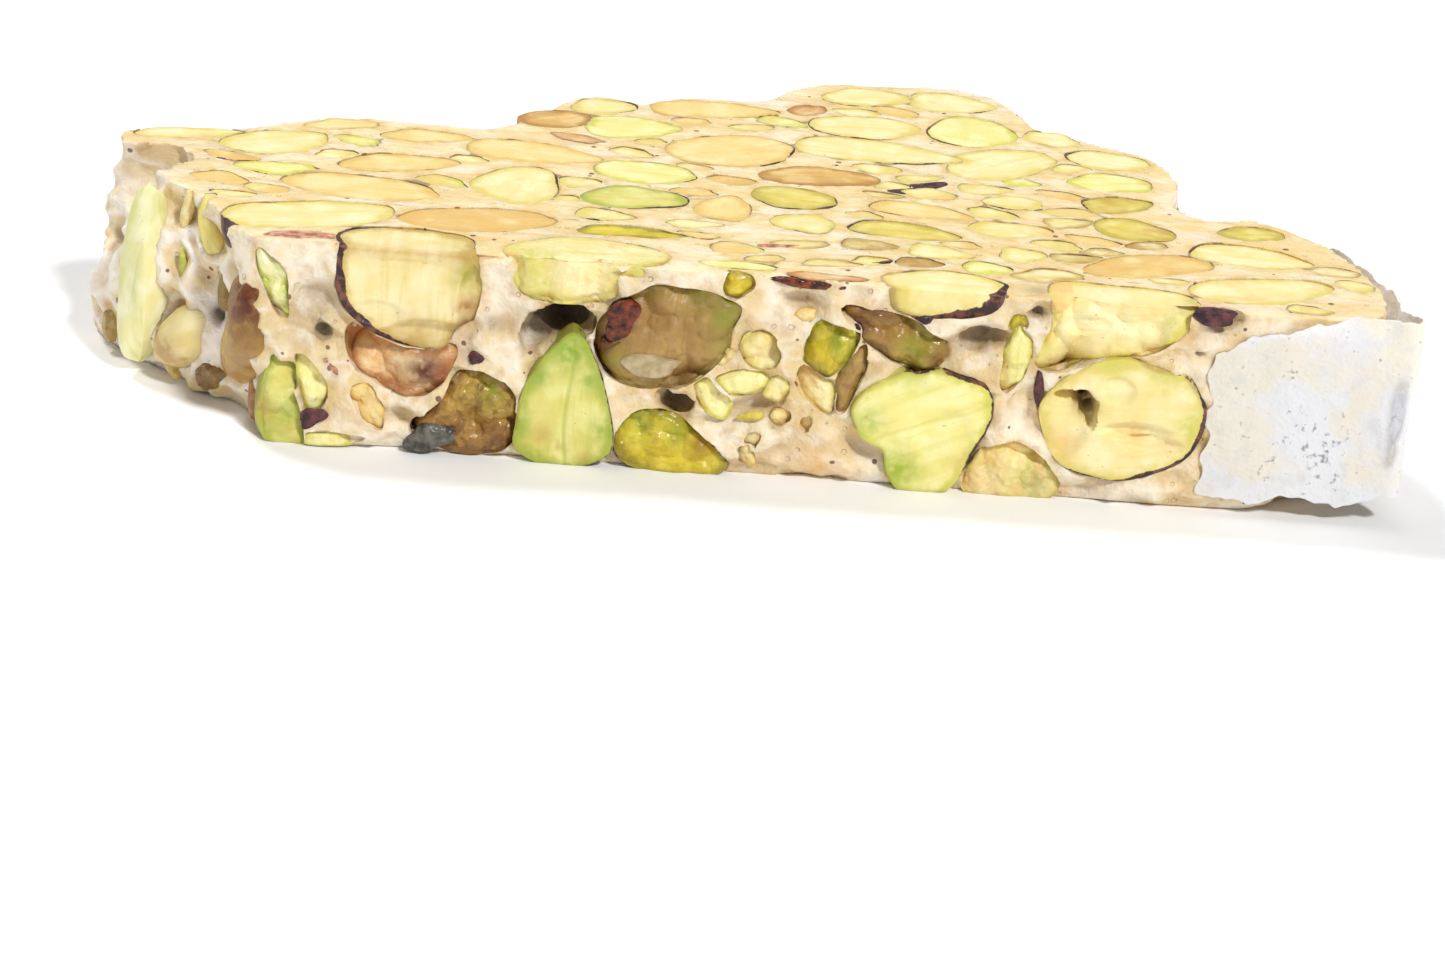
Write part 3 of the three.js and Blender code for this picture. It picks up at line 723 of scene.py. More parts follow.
@dataclass
class Kernel:
    """One pistachio kernel, whole or cut, set in a face of the slice.

    Its own axes run along its length, across its width and out of its face.
    """

    name: str
    face: Face
    row: tuple
    plan: SlicePlan
    seed: float
    cut: Cut = Cut.SLICED
    skin: float = 0.5  # how much of the dark skin its rim kept
    side: float = -90.0  # where the skin is thickest, degrees round its face
    toast: float = 0.3  # how far the roast browned it
    split: float = 0.5  # how plainly the seam between its halves shows
    proud: float = 0.0  # how far its cut face stands out of the slice's
    lump: float = 0.05
    ribs: float = 0.0  # depth of the ridges along an uncut kernel
    flat: float = 1.0  # thickness over that of a full kernel
    lift: float = 0.0  # how much further out it sits, mm
    grain: float = 0.2  # how granular a snapped face is
    fibre: float = 0.0  # turn of its fibres from its length, degrees
    dents: tuple = ()
    tints: tuple = ()
    outline: tuple = ()
    detail: int = 5
    neighbours: list = field(default_factory=list)

    def __post_init__(self) -> None:
        u, v, length, width, turn, rise = self.row[:6]
        seat = self.plan.seat(self.face, u, v)
        angle = math.radians(turn)
        ahead = math.cos(angle) * seat.along + math.sin(angle) * seat.up
        self.axes = np.array([ahead, np.cross(seat.out, ahead), seat.out])
        self.centre = seat.point + (rise + self.lift) * seat.out
        self.proud = max(self.proud, 0.2 - seat.point[1]) if self.face is Face.FRONT else self.proud
        self.sizes = np.array([length, width, width * KERNEL_DEPTH * self.flat]) / 2
        self.reach = float(self.sizes.max()) * 1.5
        self.angles = np.linspace(-math.pi, math.pi, ANGLE_DIVISIONS)
        self.spreads = self._outline_spreads() if self.outline else self._grown_spreads()
        self.box = cad_box_here()

    def _grown_spreads(self) -> np.ndarray:
        """Reach of a kernel that grew unevenly, over that of a plain oval."""
        a, s = self.angles, self.seed
        return 1 + self.lump * (
            0.7 * np.cos(2 * a + 7 * s) + 0.8 * np.cos(3 * a + 11 * s) + 0.5 * np.cos(5 * a + 5 * s)
        )

    def _outline_spreads(self) -> np.ndarray:
        """Compare the measured outline with a plain oval.

        Returns:
            The outline's reach over the oval's, for each of the kernel's angles.
        """
        curve = closed_curve(np.array(self.outline, float), np.linspace(0, 1, OUTLINE_DIVISIONS))
        if self.row[0] > self.plan.length / 2:
            flat = self.plan.wall(*curve.T)[0] - self.centre
        elif self.face is Face.TOP:
            flat = np.column_stack([curve, np.full(len(curve), THICKNESS)]) - self.centre
        else:
            flat = np.column_stack([curve[:, 0], np.zeros(len(curve)), curve[:, 1]]) - self.centre
        x, y = flat @ self.axes[0], flat @ self.axes[1]
        order = np.argsort(np.arctan2(y, x))
        directions, reach = np.arctan2(y, x)[order], np.hypot(x, y)[order]
        along, across = np.cos(self.angles), np.sin(self.angles)
        oval = np.column_stack([along, across * (1 - KERNEL_TAPER * along)]) * self.sizes[:2]
        asked = np.interp(np.arctan2(oval[:, 1], oval[:, 0]), directions, reach, period=2 * math.pi)
        section = (1 - (abs(self.row[5]) + self.proud) / self.sizes[2] * 0.5) ** (1 / FULLNESS)
        if self.cut is Cut.WHOLE:
            section = 1.0
        return asked / np.hypot(*oval.T) / max(section, 0.8)

    def _spread(self, x: np.ndarray, y: np.ndarray) -> np.ndarray:
        """Spread of the kernel in each direction of its face."""
        return np.interp(np.arctan2(y, x), self.angles, self.spreads)

    def _lump(self, directions: np.ndarray) -> np.ndarray:
        """Make the kernel's surface uneven, with ribs along it.

        Args:
            directions: Unit directions in the kernel's own axes.

        Returns:
            A scale near 1 for each direction.
        """
        around = np.arctan2(directions[:, 2], directions[:, 1])
        ridge = self.ribs * np.abs(np.sin(2.5 * around + 5 * self.seed + 0.6 * directions[:, 0]))
        ridge *= np.hypot(directions[:, 1], directions[:, 2])
        return 1 + self.lump * 0.5 * lumps(directions, 0.55, self.seed) - ridge

    def surface(self, directions: np.ndarray, grow: float = 0.0) -> np.ndarray:
        """Points of the kernel's outer surface, clear of its neighbours.

        Args:
            directions: Unit directions in the kernel's own axes.
            grow: Distance to grow the kernel all over.

        Returns:
            One point of the slice a direction.
        """
        x, y, z = directions.T
        full = (np.hypot(x, y) ** FULLNESS + np.abs(z) ** FULLNESS) ** (-1 / FULLNESS)
        slim = 1 - KERNEL_TAPER * x
        spread = self._spread(x, y)
        scale = full * self._lump(directions)
        shape = np.column_stack([x * spread, y * slim * spread, z * slim]) * scale[:, None]
        low, high = self.box
        points = self.centre + (shape * (self.sizes + grow)) @ self.axes
        points = np.clip(points, low + BOX_MARGIN, high - BOX_MARGIN)
        for other in self.neighbours:
            points = self._drawn_in(points, other, KERNEL_GAP - grow)
        return points

    def _drawn_in(self, points: np.ndarray, other: "Kernel", gap: float) -> np.ndarray:
        """Draw points in towards the kernel's middle until they clear a neighbour.

        Args:
            points: Places, one a row.
            other: The neighbour.
            gap: Distance to keep from it.

        Returns:
            The points, moved where they were too near.
        """
        inside = other.clearance(points) < gap
        if not inside.any():
            return points
        rays = points[inside] - self.centre
        low, high = np.zeros(len(rays)), np.ones(len(rays))
        for _ in range(HALVINGS):
            middle = (low + high) / 2
            blocked = other.clearance(self.centre + rays * middle[:, None]) < gap
            high = np.where(blocked, middle, high)
            low = np.where(blocked, low, middle)
        points[inside] = self.centre + rays * low[:, None]
        return points

    def local(self, points: np.ndarray) -> np.ndarray:
        """Points in the kernel's own axes, mm from its middle."""
        return (points - self.centre) @ self.axes.T

    def clearance(self, points: np.ndarray) -> np.ndarray:
        """Measure how far each point is from the uncut kernel's surface.

        Args:
            points: Places, one a row.

        Returns:
            Distances, below 0 inside the kernel.
        """
        local = self.local(points)
        result = np.linalg.norm(local, axis=1) - self.reach
        near = result < FAR
        if not near.any():
            return np.maximum(result, FAR)
        own = local[near]
        q = own / self.sizes
        length = np.maximum(np.linalg.norm(q, axis=1), 1e-6)
        slim = 1 - KERNEL_TAPER * q[:, 0] / length
        q = np.column_stack([q[:, 0], q[:, 1] / slim, q[:, 2] / slim])
        spread = self._spread(q[:, 0], q[:, 1])
        q[:, :2] /= spread[:, None]
        ratio = (np.hypot(q[:, 0], q[:, 1]) ** FULLNESS + np.abs(q[:, 2]) ** FULLNESS) ** (1 / FULLNESS)
        ratio /= self._lump(q / np.maximum(np.linalg.norm(q, axis=1), 1e-6)[:, None])
        normal = own / self.sizes**2
        normal /= np.maximum(np.linalg.norm(normal, axis=1), 1e-9)[:, None]
        across = np.maximum((normal * own).sum(1), 0.3 * self.sizes.min())
        result[near] = np.clip((1 - 1 / np.maximum(ratio, 1e-3)) * across, -self.sizes.min(), 50)
        return result

    def edge_distance(self, points: np.ndarray) -> np.ndarray:
        """Measure how far inside the kernel's rim each point lies.

        Args:
            points: Places on a cut face, one a row.

        Returns:
            Distances, 0 outside the rim.
        """
        distance = -self.clearance(points)
        for other in self.neighbours:
            distance = np.minimum(distance, other.clearance(points) - KERNEL_GAP)
        return np.maximum(distance, 0)

    def planes(self) -> list[tuple[np.ndarray, np.ndarray]]:
        """Find the planes that end the kernel.

        Returns:
            A point and the direction cut off, for each plane.
        """
        lift = 0.06 * math.sin(37 * self.seed)
        made = [(np.array([0, 0, THICKNESS + lift]), np.array([0.0, 0, 1])),
                (np.zeros(3), np.array([0.0, 0, -1]))]
        if self.face in (Face.FRONT, Face.TOP):
            proud = self.proud if self.face is Face.FRONT else TOP_PROUD
            made.append((np.array([0, -proud, 0]), np.array([0.0, -1, 0])))
        return made

    def _chips(self, x: np.ndarray, y: np.ndarray, size: float) -> tuple[np.ndarray, np.ndarray]:
        """Depth of the tilted flats that a snapped face is made of, and a shade for each flat.

        Args:
            x: Places along the kernel.
            y: Places across it.
            size: Width of a flat.

        Returns:
            A depth and a shade for each place.
        """
        chance = np.random.default_rng(int(1000 * self.seed) + int(10 * size))
        count = 4 + int(4.4 * self.sizes[0] * self.sizes[1] / size**2)
        middles = chance.uniform(-1.1, 1.1, (count, 2)) * self.sizes[:2]
        heights = chance.uniform(0, 0.2, count) * size
        slopes = chance.uniform(-0.4, 0.4, (count, 2))
        away = np.stack([x[:, None] - middles[:, 0], y[:, None] - middles[:, 1]], axis=2)
        flats = heights + (away * slopes).sum(2) + 0.3 / size * (away**2).sum(2)
        lowest = flats.argmin(1)
        return flats.min(1), chance.uniform(size=count)[lowest]

    def relief(self, points: np.ndarray, edge: np.ndarray, rough: bool) -> np.ndarray:
        """Work out how far a cut face lies under its plane.

        Args:
            points: Places on the plane, one a row.
            edge: Distance of each inwards from the kernel's rim.
            rough: Whether the face was snapped.

        Returns:
            One depth a point.
        """
        x, y, _ = self.local(points).T
        sway = SEAM_SWAY * np.sin(SEAM_BEND * x + SEAM_SHIFT * self.seed)
        seam = np.exp(-((y - sway) / 0.28) ** 2)
        low = 0.05 * np.exp(-edge / 0.14) + 0.16 * self.split * seam * smoothstep(0.2, 1, edge)
        low += 0.05 * (1 + lumps(points, 2.6, self.seed)) + 0.02 * lumps(points, 0.9, self.seed)
        if rough:
            rugged = 0.25 * np.exp(-edge / 0.3) + 0.15 * (1 + lumps(points, 2.2, self.seed + 3))
            broad, small = (self._chips(x, y, size)[0] for size in FLATS)
            rugged += 1.5 * broad + (0.5 + self.grain) * small
            low += rugged * smoothstep(-0.6, 1.6, points[:, 2])
        for at_x, at_z, half_x, half_z, depth in self.dents:
            away = ((points[:, 0] - at_x) / half_x) ** 2 + ((points[:, 2] - at_z) / half_z) ** 2
            low += depth * (1 - smoothstep(0.35, 1.15, away))
        return np.maximum(low, 0)

    def build(self, template: bpy.types.Mesh) -> bpy.types.Mesh:
        """Make the kernel's mesh.

        Args:
            template: Sphere to shape.

        Returns:
            The mesh, in millimetres of the slice.
        """
        bm = bmesh.new()
        bm.from_mesh(template)
        shape = self.surface(np.array([v.co for v in bm.verts]))
        for vert, place in zip(bm.verts, shape):
            vert.co = place
        for point, direction in self.planes():
            self._cut_face(bm, point, direction)
        bmesh.ops.recalc_face_normals(bm, faces=bm.faces)
        mesh = finished(bm, self.name)
        self._dress(mesh)
        return mesh

    def _cut_face(self, bm: bmesh.types.BMesh, point: np.ndarray, direction: np.ndarray) -> None:
        """Cut the kernel off at a plane and roughen the face that is left.

        Args:
            bm: The kernel.
            point: A point of the plane.
            direction: The direction that is cut off.
        """
        places = np.array([v.co for v in bm.verts])
        if ((places - point) @ direction).max() < 1e-3:
            return
        bmesh.ops.bisect_plane(bm, geom=bm.verts[:] + bm.edges[:] + bm.faces[:], dist=1e-4,
                               plane_co=point, plane_no=direction)
        places = np.array([v.co for v in bm.verts])
        over = (places - point) @ direction
        beyond = over > -REFINED
        flat = places[beyond] - over[beyond, None] * direction
        edge = self.edge_distance(flat)
        rough = self.cut is Cut.BROKEN and direction[2] == 0
        low = self.relief(flat, edge, rough)
        for other, away in self.planes():
            if away @ direction < 0.5:
                low += 0.2 * np.exp(np.minimum((flat - other) @ away, 0) / 0.3)
        flat += np.minimum(over[beyond], -low)[:, None] * direction
        for vert, place in zip((v for v, cut in zip(bm.verts, beyond) if cut), flat):
            vert.co = place
        bmesh.ops.dissolve_degenerate(bm, dist=1e-3, edges=bm.edges[:])

    def _dress(self, mesh: bpy.types.Mesh) -> None:
        """Store the kernel's own coordinates, habit and tints for its finish.

        Args:
            mesh: The kernel's mesh, in millimetres of the slice.
        """
        places = points_of(mesh)
        local = self.local(places)
        whole = self.cut is Cut.WHOLE
        edge = np.full(len(places), CLEAR_EDGE) if whole else self.edge_distance(places)
        around = np.arctan2(local[:, 1], local[:, 0])
        ring = np.column_stack([np.cos(around), np.sin(around), np.full(len(around), self.seed * 9)])
        lean = np.cos(around - math.radians(self.side - self.row[4]))
        coat = max(self.skin, 0) * (0.02 + 0.32 * lean) + 0.12 * lumps(ring, 0.45, self.seed) - 0.06
        coat += 0.4 * min(self.skin, 0) - 1.0 * whole
        edge *= max(1.0, 2.2 / self.sizes[1])
        roast = np.full(len(places), self.toast)
        # Each flat of a snapped face is browned more or less at random: a tone of its own that also stands
        # in as painted light and shade, setting the flats apart.
        if self.cut is Cut.BROKEN:
            broad, small = (self._chips(local[:, 0], local[:, 1], size)[1] for size in FLATS)
            roast += 0.8 * (broad - 0.5) + 0.4 * (small - 0.5)
        tint = np.zeros((len(places), 3))
        for at_u, at_v, reach, channel, strength in self.tints:
            flat = places[:, (0, 1)] if self.face is Face.TOP else places[:, (0, 2)]
            near = np.exp(-((flat - np.array([at_u, at_v])) ** 2).sum(1) / reach**2)
            tint[:, channel] = np.maximum(tint[:, channel], strength * near)
        # The edge where two cut faces meet dried to gold.
        if self.face is Face.FRONT and self.cut is not Cut.WHOLE:
            worn = np.exp(-(np.abs(places[:, 2] - THICKNESS) + np.abs(places[:, 1] + self.proud)) / 0.55)
            tint[:, BROWN_AND_SHADE] = np.maximum(tint[:, BROWN_AND_SHADE], worn)
        run, rise = math.cos(math.radians(self.fibre)), math.sin(math.radians(self.fibre))
        along, across = local[:, 0] * run + local[:, 1] * rise, local[:, 1] * run - local[:, 0] * rise
        for key, kind, field_name, values in (
            ("kernel", "FLOAT_VECTOR", "vector", np.column_stack([along, across, edge])),
            ("crumb", "FLOAT", "value", np.full(len(places), self.grain * (self.cut is Cut.BROKEN))),
            ("tint", "FLOAT_VECTOR", "vector", tint),
            ("habit", "FLOAT_COLOR", "color", np.column_stack([
                np.full(len(places), self.seed), coat + 1, roast,
                np.full(len(places), self.split)])),
        ):
            mesh.attributes.new(key, kind, "POINT").data.foreach_set(field_name, values.ravel())
        mesh.shade_smooth()
        mesh.set_sharp_from_angle(angle=math.radians(30 if self.cut is Cut.BROKEN else 48))


class Workshop:
    """Shared ways to make meshes, apply modifiers and set finished pieces in the part."""

    def __init__(self) -> None:
        self.spheres: dict[int, bpy.types.Mesh] = {}

    def sphere(self, subdivisions: int) -> bpy.types.Mesh:
        """A unit icosphere, made once for each fineness."""
        if subdivisions not in self.spheres:
            bm = bmesh.new()
            bmesh.ops.create_icosphere(bm, subdivisions=subdivisions, radius=1)
            self.spheres[subdivisions] = finished(bm, f"sphere_{subdivisions}")
        return self.spheres[subdivisions]

    @staticmethod
    def place(mesh: bpy.types.Mesh, name: str, material: bpy.types.Material, slot: str,
              nodes: Iterable[str] = ()) -> bpy.types.Object:
        """Move a finished mesh into the part's frame as a piece.

        Args:
            mesh: Mesh in millimetres of the slice.
            name: The piece's name.
            material: Its finish.
            slot: The record's slot for that finish; not used.
            nodes: CAD nodes that it stands for.

        Returns:
            The piece.
        """
        mesh.transform(Matrix.Scale(MM, 4) @ Matrix.Translation(CORNER))
        mesh.name = name
        mesh.materials.clear()
        mesh.materials.append(material)
        piece = bpy.data.objects.new(name, mesh)
        bpy.context.scene.collection.objects.link(piece)
        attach(piece, "root")
        if nodes:
            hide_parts(*nodes)
        LOG.info("%s: %d faces", name, len(mesh.polygons))
        return piece

    @staticmethod
    def join(meshes: list[bpy.types.Mesh], name: str) -> bpy.types.Mesh:
        """Join meshes, with their attributes, into one.

        Args:
            meshes: The meshes.
            name: Name of the new one.

        Returns:
            The joined mesh.
        """
        holders = [bpy.data.objects.new(m.name, m) for m in meshes]
        for holder in holders:
            bpy.context.scene.collection.objects.link(holder)
        with bpy.context.temp_override(active_object=holders[0], selected_editable_objects=holders):
            bpy.ops.object.join()
        joined = holders[0].data
        joined.name = name
        bpy.data.objects.remove(holders[0])
        return joined

    @staticmethod
    def changed(mesh: bpy.types.Mesh, kind: str, settings: dict,
                cutters: Iterable[bpy.types.Mesh] = ()) -> bpy.types.Mesh:
        """Apply one modifier to a mesh.

        Args:
            mesh: The mesh.
            kind: The modifier's type.
            settings: Its settings.
            cutters: Meshes for a Boolean's collection.

        Returns:
            A new mesh.
        """
        scene = bpy.context.scene.collection
        holder = bpy.data.objects.new("work", mesh)
        scene.objects.link(holder)
        modifier = holder.modifiers.new("work", kind)
        for key, value in settings.items():
            setattr(modifier, key, value)
        group = bpy.data.collections.new("cutters")
        scene.children.link(group)
        for cutter in cutters:
            group.objects.link(bpy.data.objects.new("cutter", cutter))
        if group.objects:
            modifier.operand_type = "COLLECTION"
            modifier.collection = group
        bpy.context.view_layer.update()
        depsgraph = bpy.context.evaluated_depsgraph_get()
        made = bpy.data.meshes.new_from_object(holder.evaluated_get(depsgraph), depsgraph=depsgraph)
        for cutter in list(group.objects):
            bpy.data.objects.remove(cutter)
        bpy.data.collections.remove(group)
        bpy.data.objects.remove(holder)
        return made


@dataclass(frozen=True)
class KernelFinish:
    """Finish of one kind of roasted pistachio kernel: cut flesh, its greener rim and its tones."""

    name: str
    core: str
    pale: str
    rim: str
    vein: str
    toasted: str
    fresh: str
    roughness: float
    rim_width: float = 1.3

    def material(self, skin: tuple[str, str] = ("#3b2022", "#7a4c3a")) -> bpy.types.Material:
        """Build the material.

        Args:
            skin: Dark and light colour of the papery skin.

        Returns:
            The material.
        """
        # Kernel flesh is dense and oily: soft sheen, a little light passes into it, and fine
        # fibres run along its length. The skin round it is thin, matt and nearly black-purple.
        made, node = blank_material(f"roasted_pistachio_{self.name}")
        kernel, habit, tint, crumb = (node(Kind.ATTRIBUTE, settings={"attribute_name": key}).outputs
                                      for key in ("kernel", "habit", "tint", "crumb"))
        x, y, edge = node(Kind.AXES, kernel["Vector"]).outputs
        # The first tint channel is browning and, on a few kernels, painted shade.
        browned, greened, darkened = node(Kind.AXES, tint["Vector"]).outputs
        seed, coat, toasting = node(Kind.CHANNELS, habit["Color"]).outputs
        place = node(Kind.PLACE).outputs["Object"]
        # Fibres: a pattern drawn out along the kernel, about 0.4 mm wide and 4 mm long.
        drawn = node(Kind.VECTOR, node(Kind.TIMES, x, 0.12), y, node(Kind.TIMES, seed, 50.0))
        fibres, broad = (node(Kind.NOISE, drawn, 1 / size, detail)
                         for size, detail in ((0.45, 3.0), (1.5, 1.0)))
        clouds, blotch, mottle, ragged, freckles, grain = (
            node(Kind.NOISE, place, per_mm(size), detail)
            for size, detail in ((4.0, 3.0), (3.0, 3.0), (0.9, 3.0), (0.5, 3.0), (0.4, 2.0), (0.28, 2.0)))
        # The rim, greener or browner than the core, fades inwards unevenly.
        wobble = node(Kind.SCALED, mottle, 1.3, node(Kind.SCALED, blotch, 1.6, -1.45))
        rim = node(Kind.RAMP, node(Kind.PLUS, edge, wobble), 0.1, self.rim_width, 1.0, 0.0)
        roast = node(Kind.RAMP, node(Kind.PLUS, clouds, node(Kind.SCALED, toasting, 0.4, -0.2)), 0.5, 0.68)
        roast = node(Kind.MOST, node(Kind.TIMES, roast, 0.7),
                     node(Kind.TIMES, browned, node(Kind.RAMP, mottle, 0.35, 0.6, 0.6, 1.0)))
        # The seam between the two halves of the kernel.
        bend = node(Kind.SINE, node(Kind.SCALED, x, SEAM_BEND, node(Kind.TIMES, seed, SEAM_SHIFT)))
        off = node(Kind.UNSIGNED, node(Kind.MINUS, y, node(Kind.TIMES, bend, SEAM_SWAY)))
        seam = node(Kind.TIMES, node(Kind.RAMP, off, 0.05, 0.3, 1.0, 0.0), habit["Alpha"])
        # Flesh darkens where it dried against the skin.
        dried = node(Kind.TIMES, node(Kind.RAMP, edge, 0.0, 0.35, 0.5, 0.0),
                     node(Kind.RAMP, blotch, 0.42, 0.6))
        freckle = node(Kind.TIMES, node(Kind.RAMP, freckles, 0.68, 0.74), node(Kind.RAMP, blotch, 0.5, 0.6))
        # The skin, a broken dark line round the rim.
        ragged = node(Kind.SCALED, ragged, 0.36, -1.18)
        kept = node(Kind.RAMP, node(Kind.MINUS, node(Kind.PLUS, coat, ragged), edge), -0.03, 0.04)
        peel = node(Kind.BLEND, node(Kind.RAMP, mottle, 0.42, 0.62), *skin)
        # A snapped face is a mosaic of grains, 0.3 to 0.8 mm, some glassy and pale, some brown.
        grains = node(Kind.CELLS, place, per_mm(0.6))
        dice = node(Kind.CHANNELS, grains.outputs["Color"]).outputs
        colour = node(Kind.BLEND, node(Kind.RAMP, blotch, 0.4, 0.62), self.core, self.pale)
        for share, tone in (
            (node(Kind.RAMP, broad, 0.5, 0.72, 0.0, 0.4), self.vein),
            (node(Kind.RAMP, fibres, 0.56, 0.7, 0.0, 0.3), self.vein),
            (node(Kind.TIMES, rim, 0.8), self.rim),
            (node(Kind.TIMES, greened, node(Kind.RAMP, mottle, 0.35, 0.6, 0.55, 1.0)), self.fresh),
            (roast, self.toasted),
            (node(Kind.TIMES, seam, 0.6), self.rim),
            (dried, "#8a6a3a"),
            (node(Kind.TIMES, freckle, 0.5), "#a5793f"),
            (node(Kind.TIMES, crumb["Fac"], node(Kind.RAMP, dice[0], 0.55, 0.9, 0.0, 0.5)), self.pale),
            (node(Kind.TIMES, crumb["Fac"], node(Kind.RAMP, dice[1], 0.6, 0.9, 0.0, 0.45)), self.toasted),
            (kept, peel),
            (node(Kind.TIMES, darkened, node(Kind.RAMP, mottle, 0.3, 0.55, 0.6, 1.0)), "#5e2412"),
        ):
            colour = node(Kind.BLEND, share, colour, tone)
        height = node(Kind.PLUS, node(Kind.TIMES, fibres, 0.5),
                      node(Kind.SCALED, mottle, 0.6, node(Kind.TIMES, grain, 0.25)))
        facets = node(Kind.PLUS, grains.outputs["Distance"], node(Kind.TIMES, dice[2], 0.5))
        height = node(Kind.PLUS, height, node(Kind.TIMES, node(Kind.TIMES, crumb["Fac"], facets), 1.4))
        bump = node(Kind.BUMP, inputs={"Strength": 0.6, "Distance": 0.2 * MM, "Height": height})
        rough = node(Kind.RAMP, fibres, 0.3, 0.7, self.roughness - 0.07, self.roughness + 0.1)
        node(Kind.OUTPUT, node(Kind.SHADER, inputs={
            "Base Color": colour, "Roughness": rough, "IOR": 1.46, "Normal": bump,
            "Subsurface Weight": 0.18, "Subsurface Radius": (1.0, 0.85, 0.4),
            "Subsurface Scale": 0.8 * MM}))
        return made


KERNEL_FINISHES = {
    finish.name: finish
    for finish in (
        KernelFinish("pale", "#f6e3a0", "#faedb8", "#dcca64", "#e6d27a", "#eac078", "#cbc84e", 0.46),
        KernelFinish("cream", "#f0dd9a", "#f7e8b4", "#bd9e48", "#d9c26c", "#ad7f3c", "#aea63c", 0.44),
        KernelFinish("lime", "#f5e894", "#f9f0ae", "#cfcc50", "#dbd56a", "#e6c478", "#a4b834", 0.42, 0.9),
        KernelFinish("green", "#dfd474", "#e9e390", "#a3b038", "#c0c456", "#be9a48", "#84a422", 0.38),
        KernelFinish("leaf", "#ece6a8", "#f6f2c8", "#b9c654", "#bccb58", "#d2b870", "#a0b83c", 0.4),
        KernelFinish("olive", "#d8bf2a", "#ead64a", "#8f861e", "#a59824", "#94682a", "#7d8c1c", 0.28),
        KernelFinish("tan", "#f4d68c", "#f9e2a4", "#dfba64", "#e6c474", "#deb262", "#d4c85e", 0.46),
        KernelFinish("amber", "#e2b274", "#f0d3a2", "#b87840", "#c78e4c", "#96502c", "#b8a44c", 0.34),
        KernelFinish("umber", "#ab7f42", "#c29c48", "#74522a", "#8d6f30", "#6e421e", "#928c28", 0.28),
        KernelFinish("taupe", "#ab8648", "#bf9b5c", "#85722e", "#917536", "#744820", "#8c8a2c", 0.44),
        KernelFinish("golden", "#e2ce66", "#eddc84", "#b8a83e", "#c6b64c", "#c99a4a", "#a2a030", 0.42),
        KernelFinish("toasted", "#dcb062", "#ecca86", "#b07c3c", "#bc8b4c", "#965c30", "#bfa850", 0.42),
    )
}


@dataclass(frozen=True)
class ScrapFinish:
    """Finish of a scrap of skin or of scorched syrup."""

    name: str
    dark: str
    light: str
    roughness: float
    crinkled: float = 0.6

    def material(self) -> bpy.types.Material:
        """Build the material: crinkled and a little glossy, in two mixed tones."""
        made, node = blank_material(f"pistachio_skin_{self.name}")
        place = node(Kind.PLACE).outputs["Object"]
        coarse = node(Kind.NOISE, place, per_mm(0.8), 4.0)
        colour = node(Kind.BLEND, node(Kind.STRAIGHT_RAMP, coarse, 0.38, 0.66), self.dark, self.light)
        crinkles = node(Kind.CRACKS, place, per_mm(0.45))
        bump = node(Kind.BUMP, inputs={"Strength": self.crinkled, "Distance": 0.15 * MM,
                                       "Height": crinkles})
        node(Kind.OUTPUT, node(Kind.SHADER, inputs={
            "Base Color": colour, "Roughness": self.roughness, "IOR": 1.45, "Normal": bump}))
        return made


SCRAP_FINISHES = {
    finish.name: finish
    for finish in (
        ScrapFinish("skin", "#2c161c", "#6b3a3c", 0.42),
        ScrapFinish("blush", "#a8604c", "#e2b493", 0.5),
        ScrapFinish("slate", "#3f3c36", "#77746a", 0.35),
        ScrapFinish("scorch", "#260d08", "#8a3c1a", 0.3, 1.0),
        ScrapFinish("shred", "#e6cb80", "#f8eab8", 0.42),
        ScrapFinish("film", "#a8946a", "#c4b088", 0.16, 0.05),
    )
}
# Some kernels look lighter on the cut face or on the left wall than in front.
LIGHTER = {(Face.TOP, "olive"): "golden", (Face.TOP, "umber"): "toasted", (Face.LEFT, "green"): "leaf",
           (Face.LEFT, "olive"): "golden"}
SHADES = {"golden": "olive", "toasted": "umber", "leaf": "green"}  # and the slot that each belongs to
SCRAP_SLOTS = {"skin": "kernel_umber", "blush": "kernel_amber", "slate": "kernel_taupe",
               "scorch": "kernel_umber", "film": "kernel_taupe", "shred": "kernel_cream"}

BROWN_AND_SHADE, FRESH, DARK = 0, 1, 2  # channels of a kernel's tints

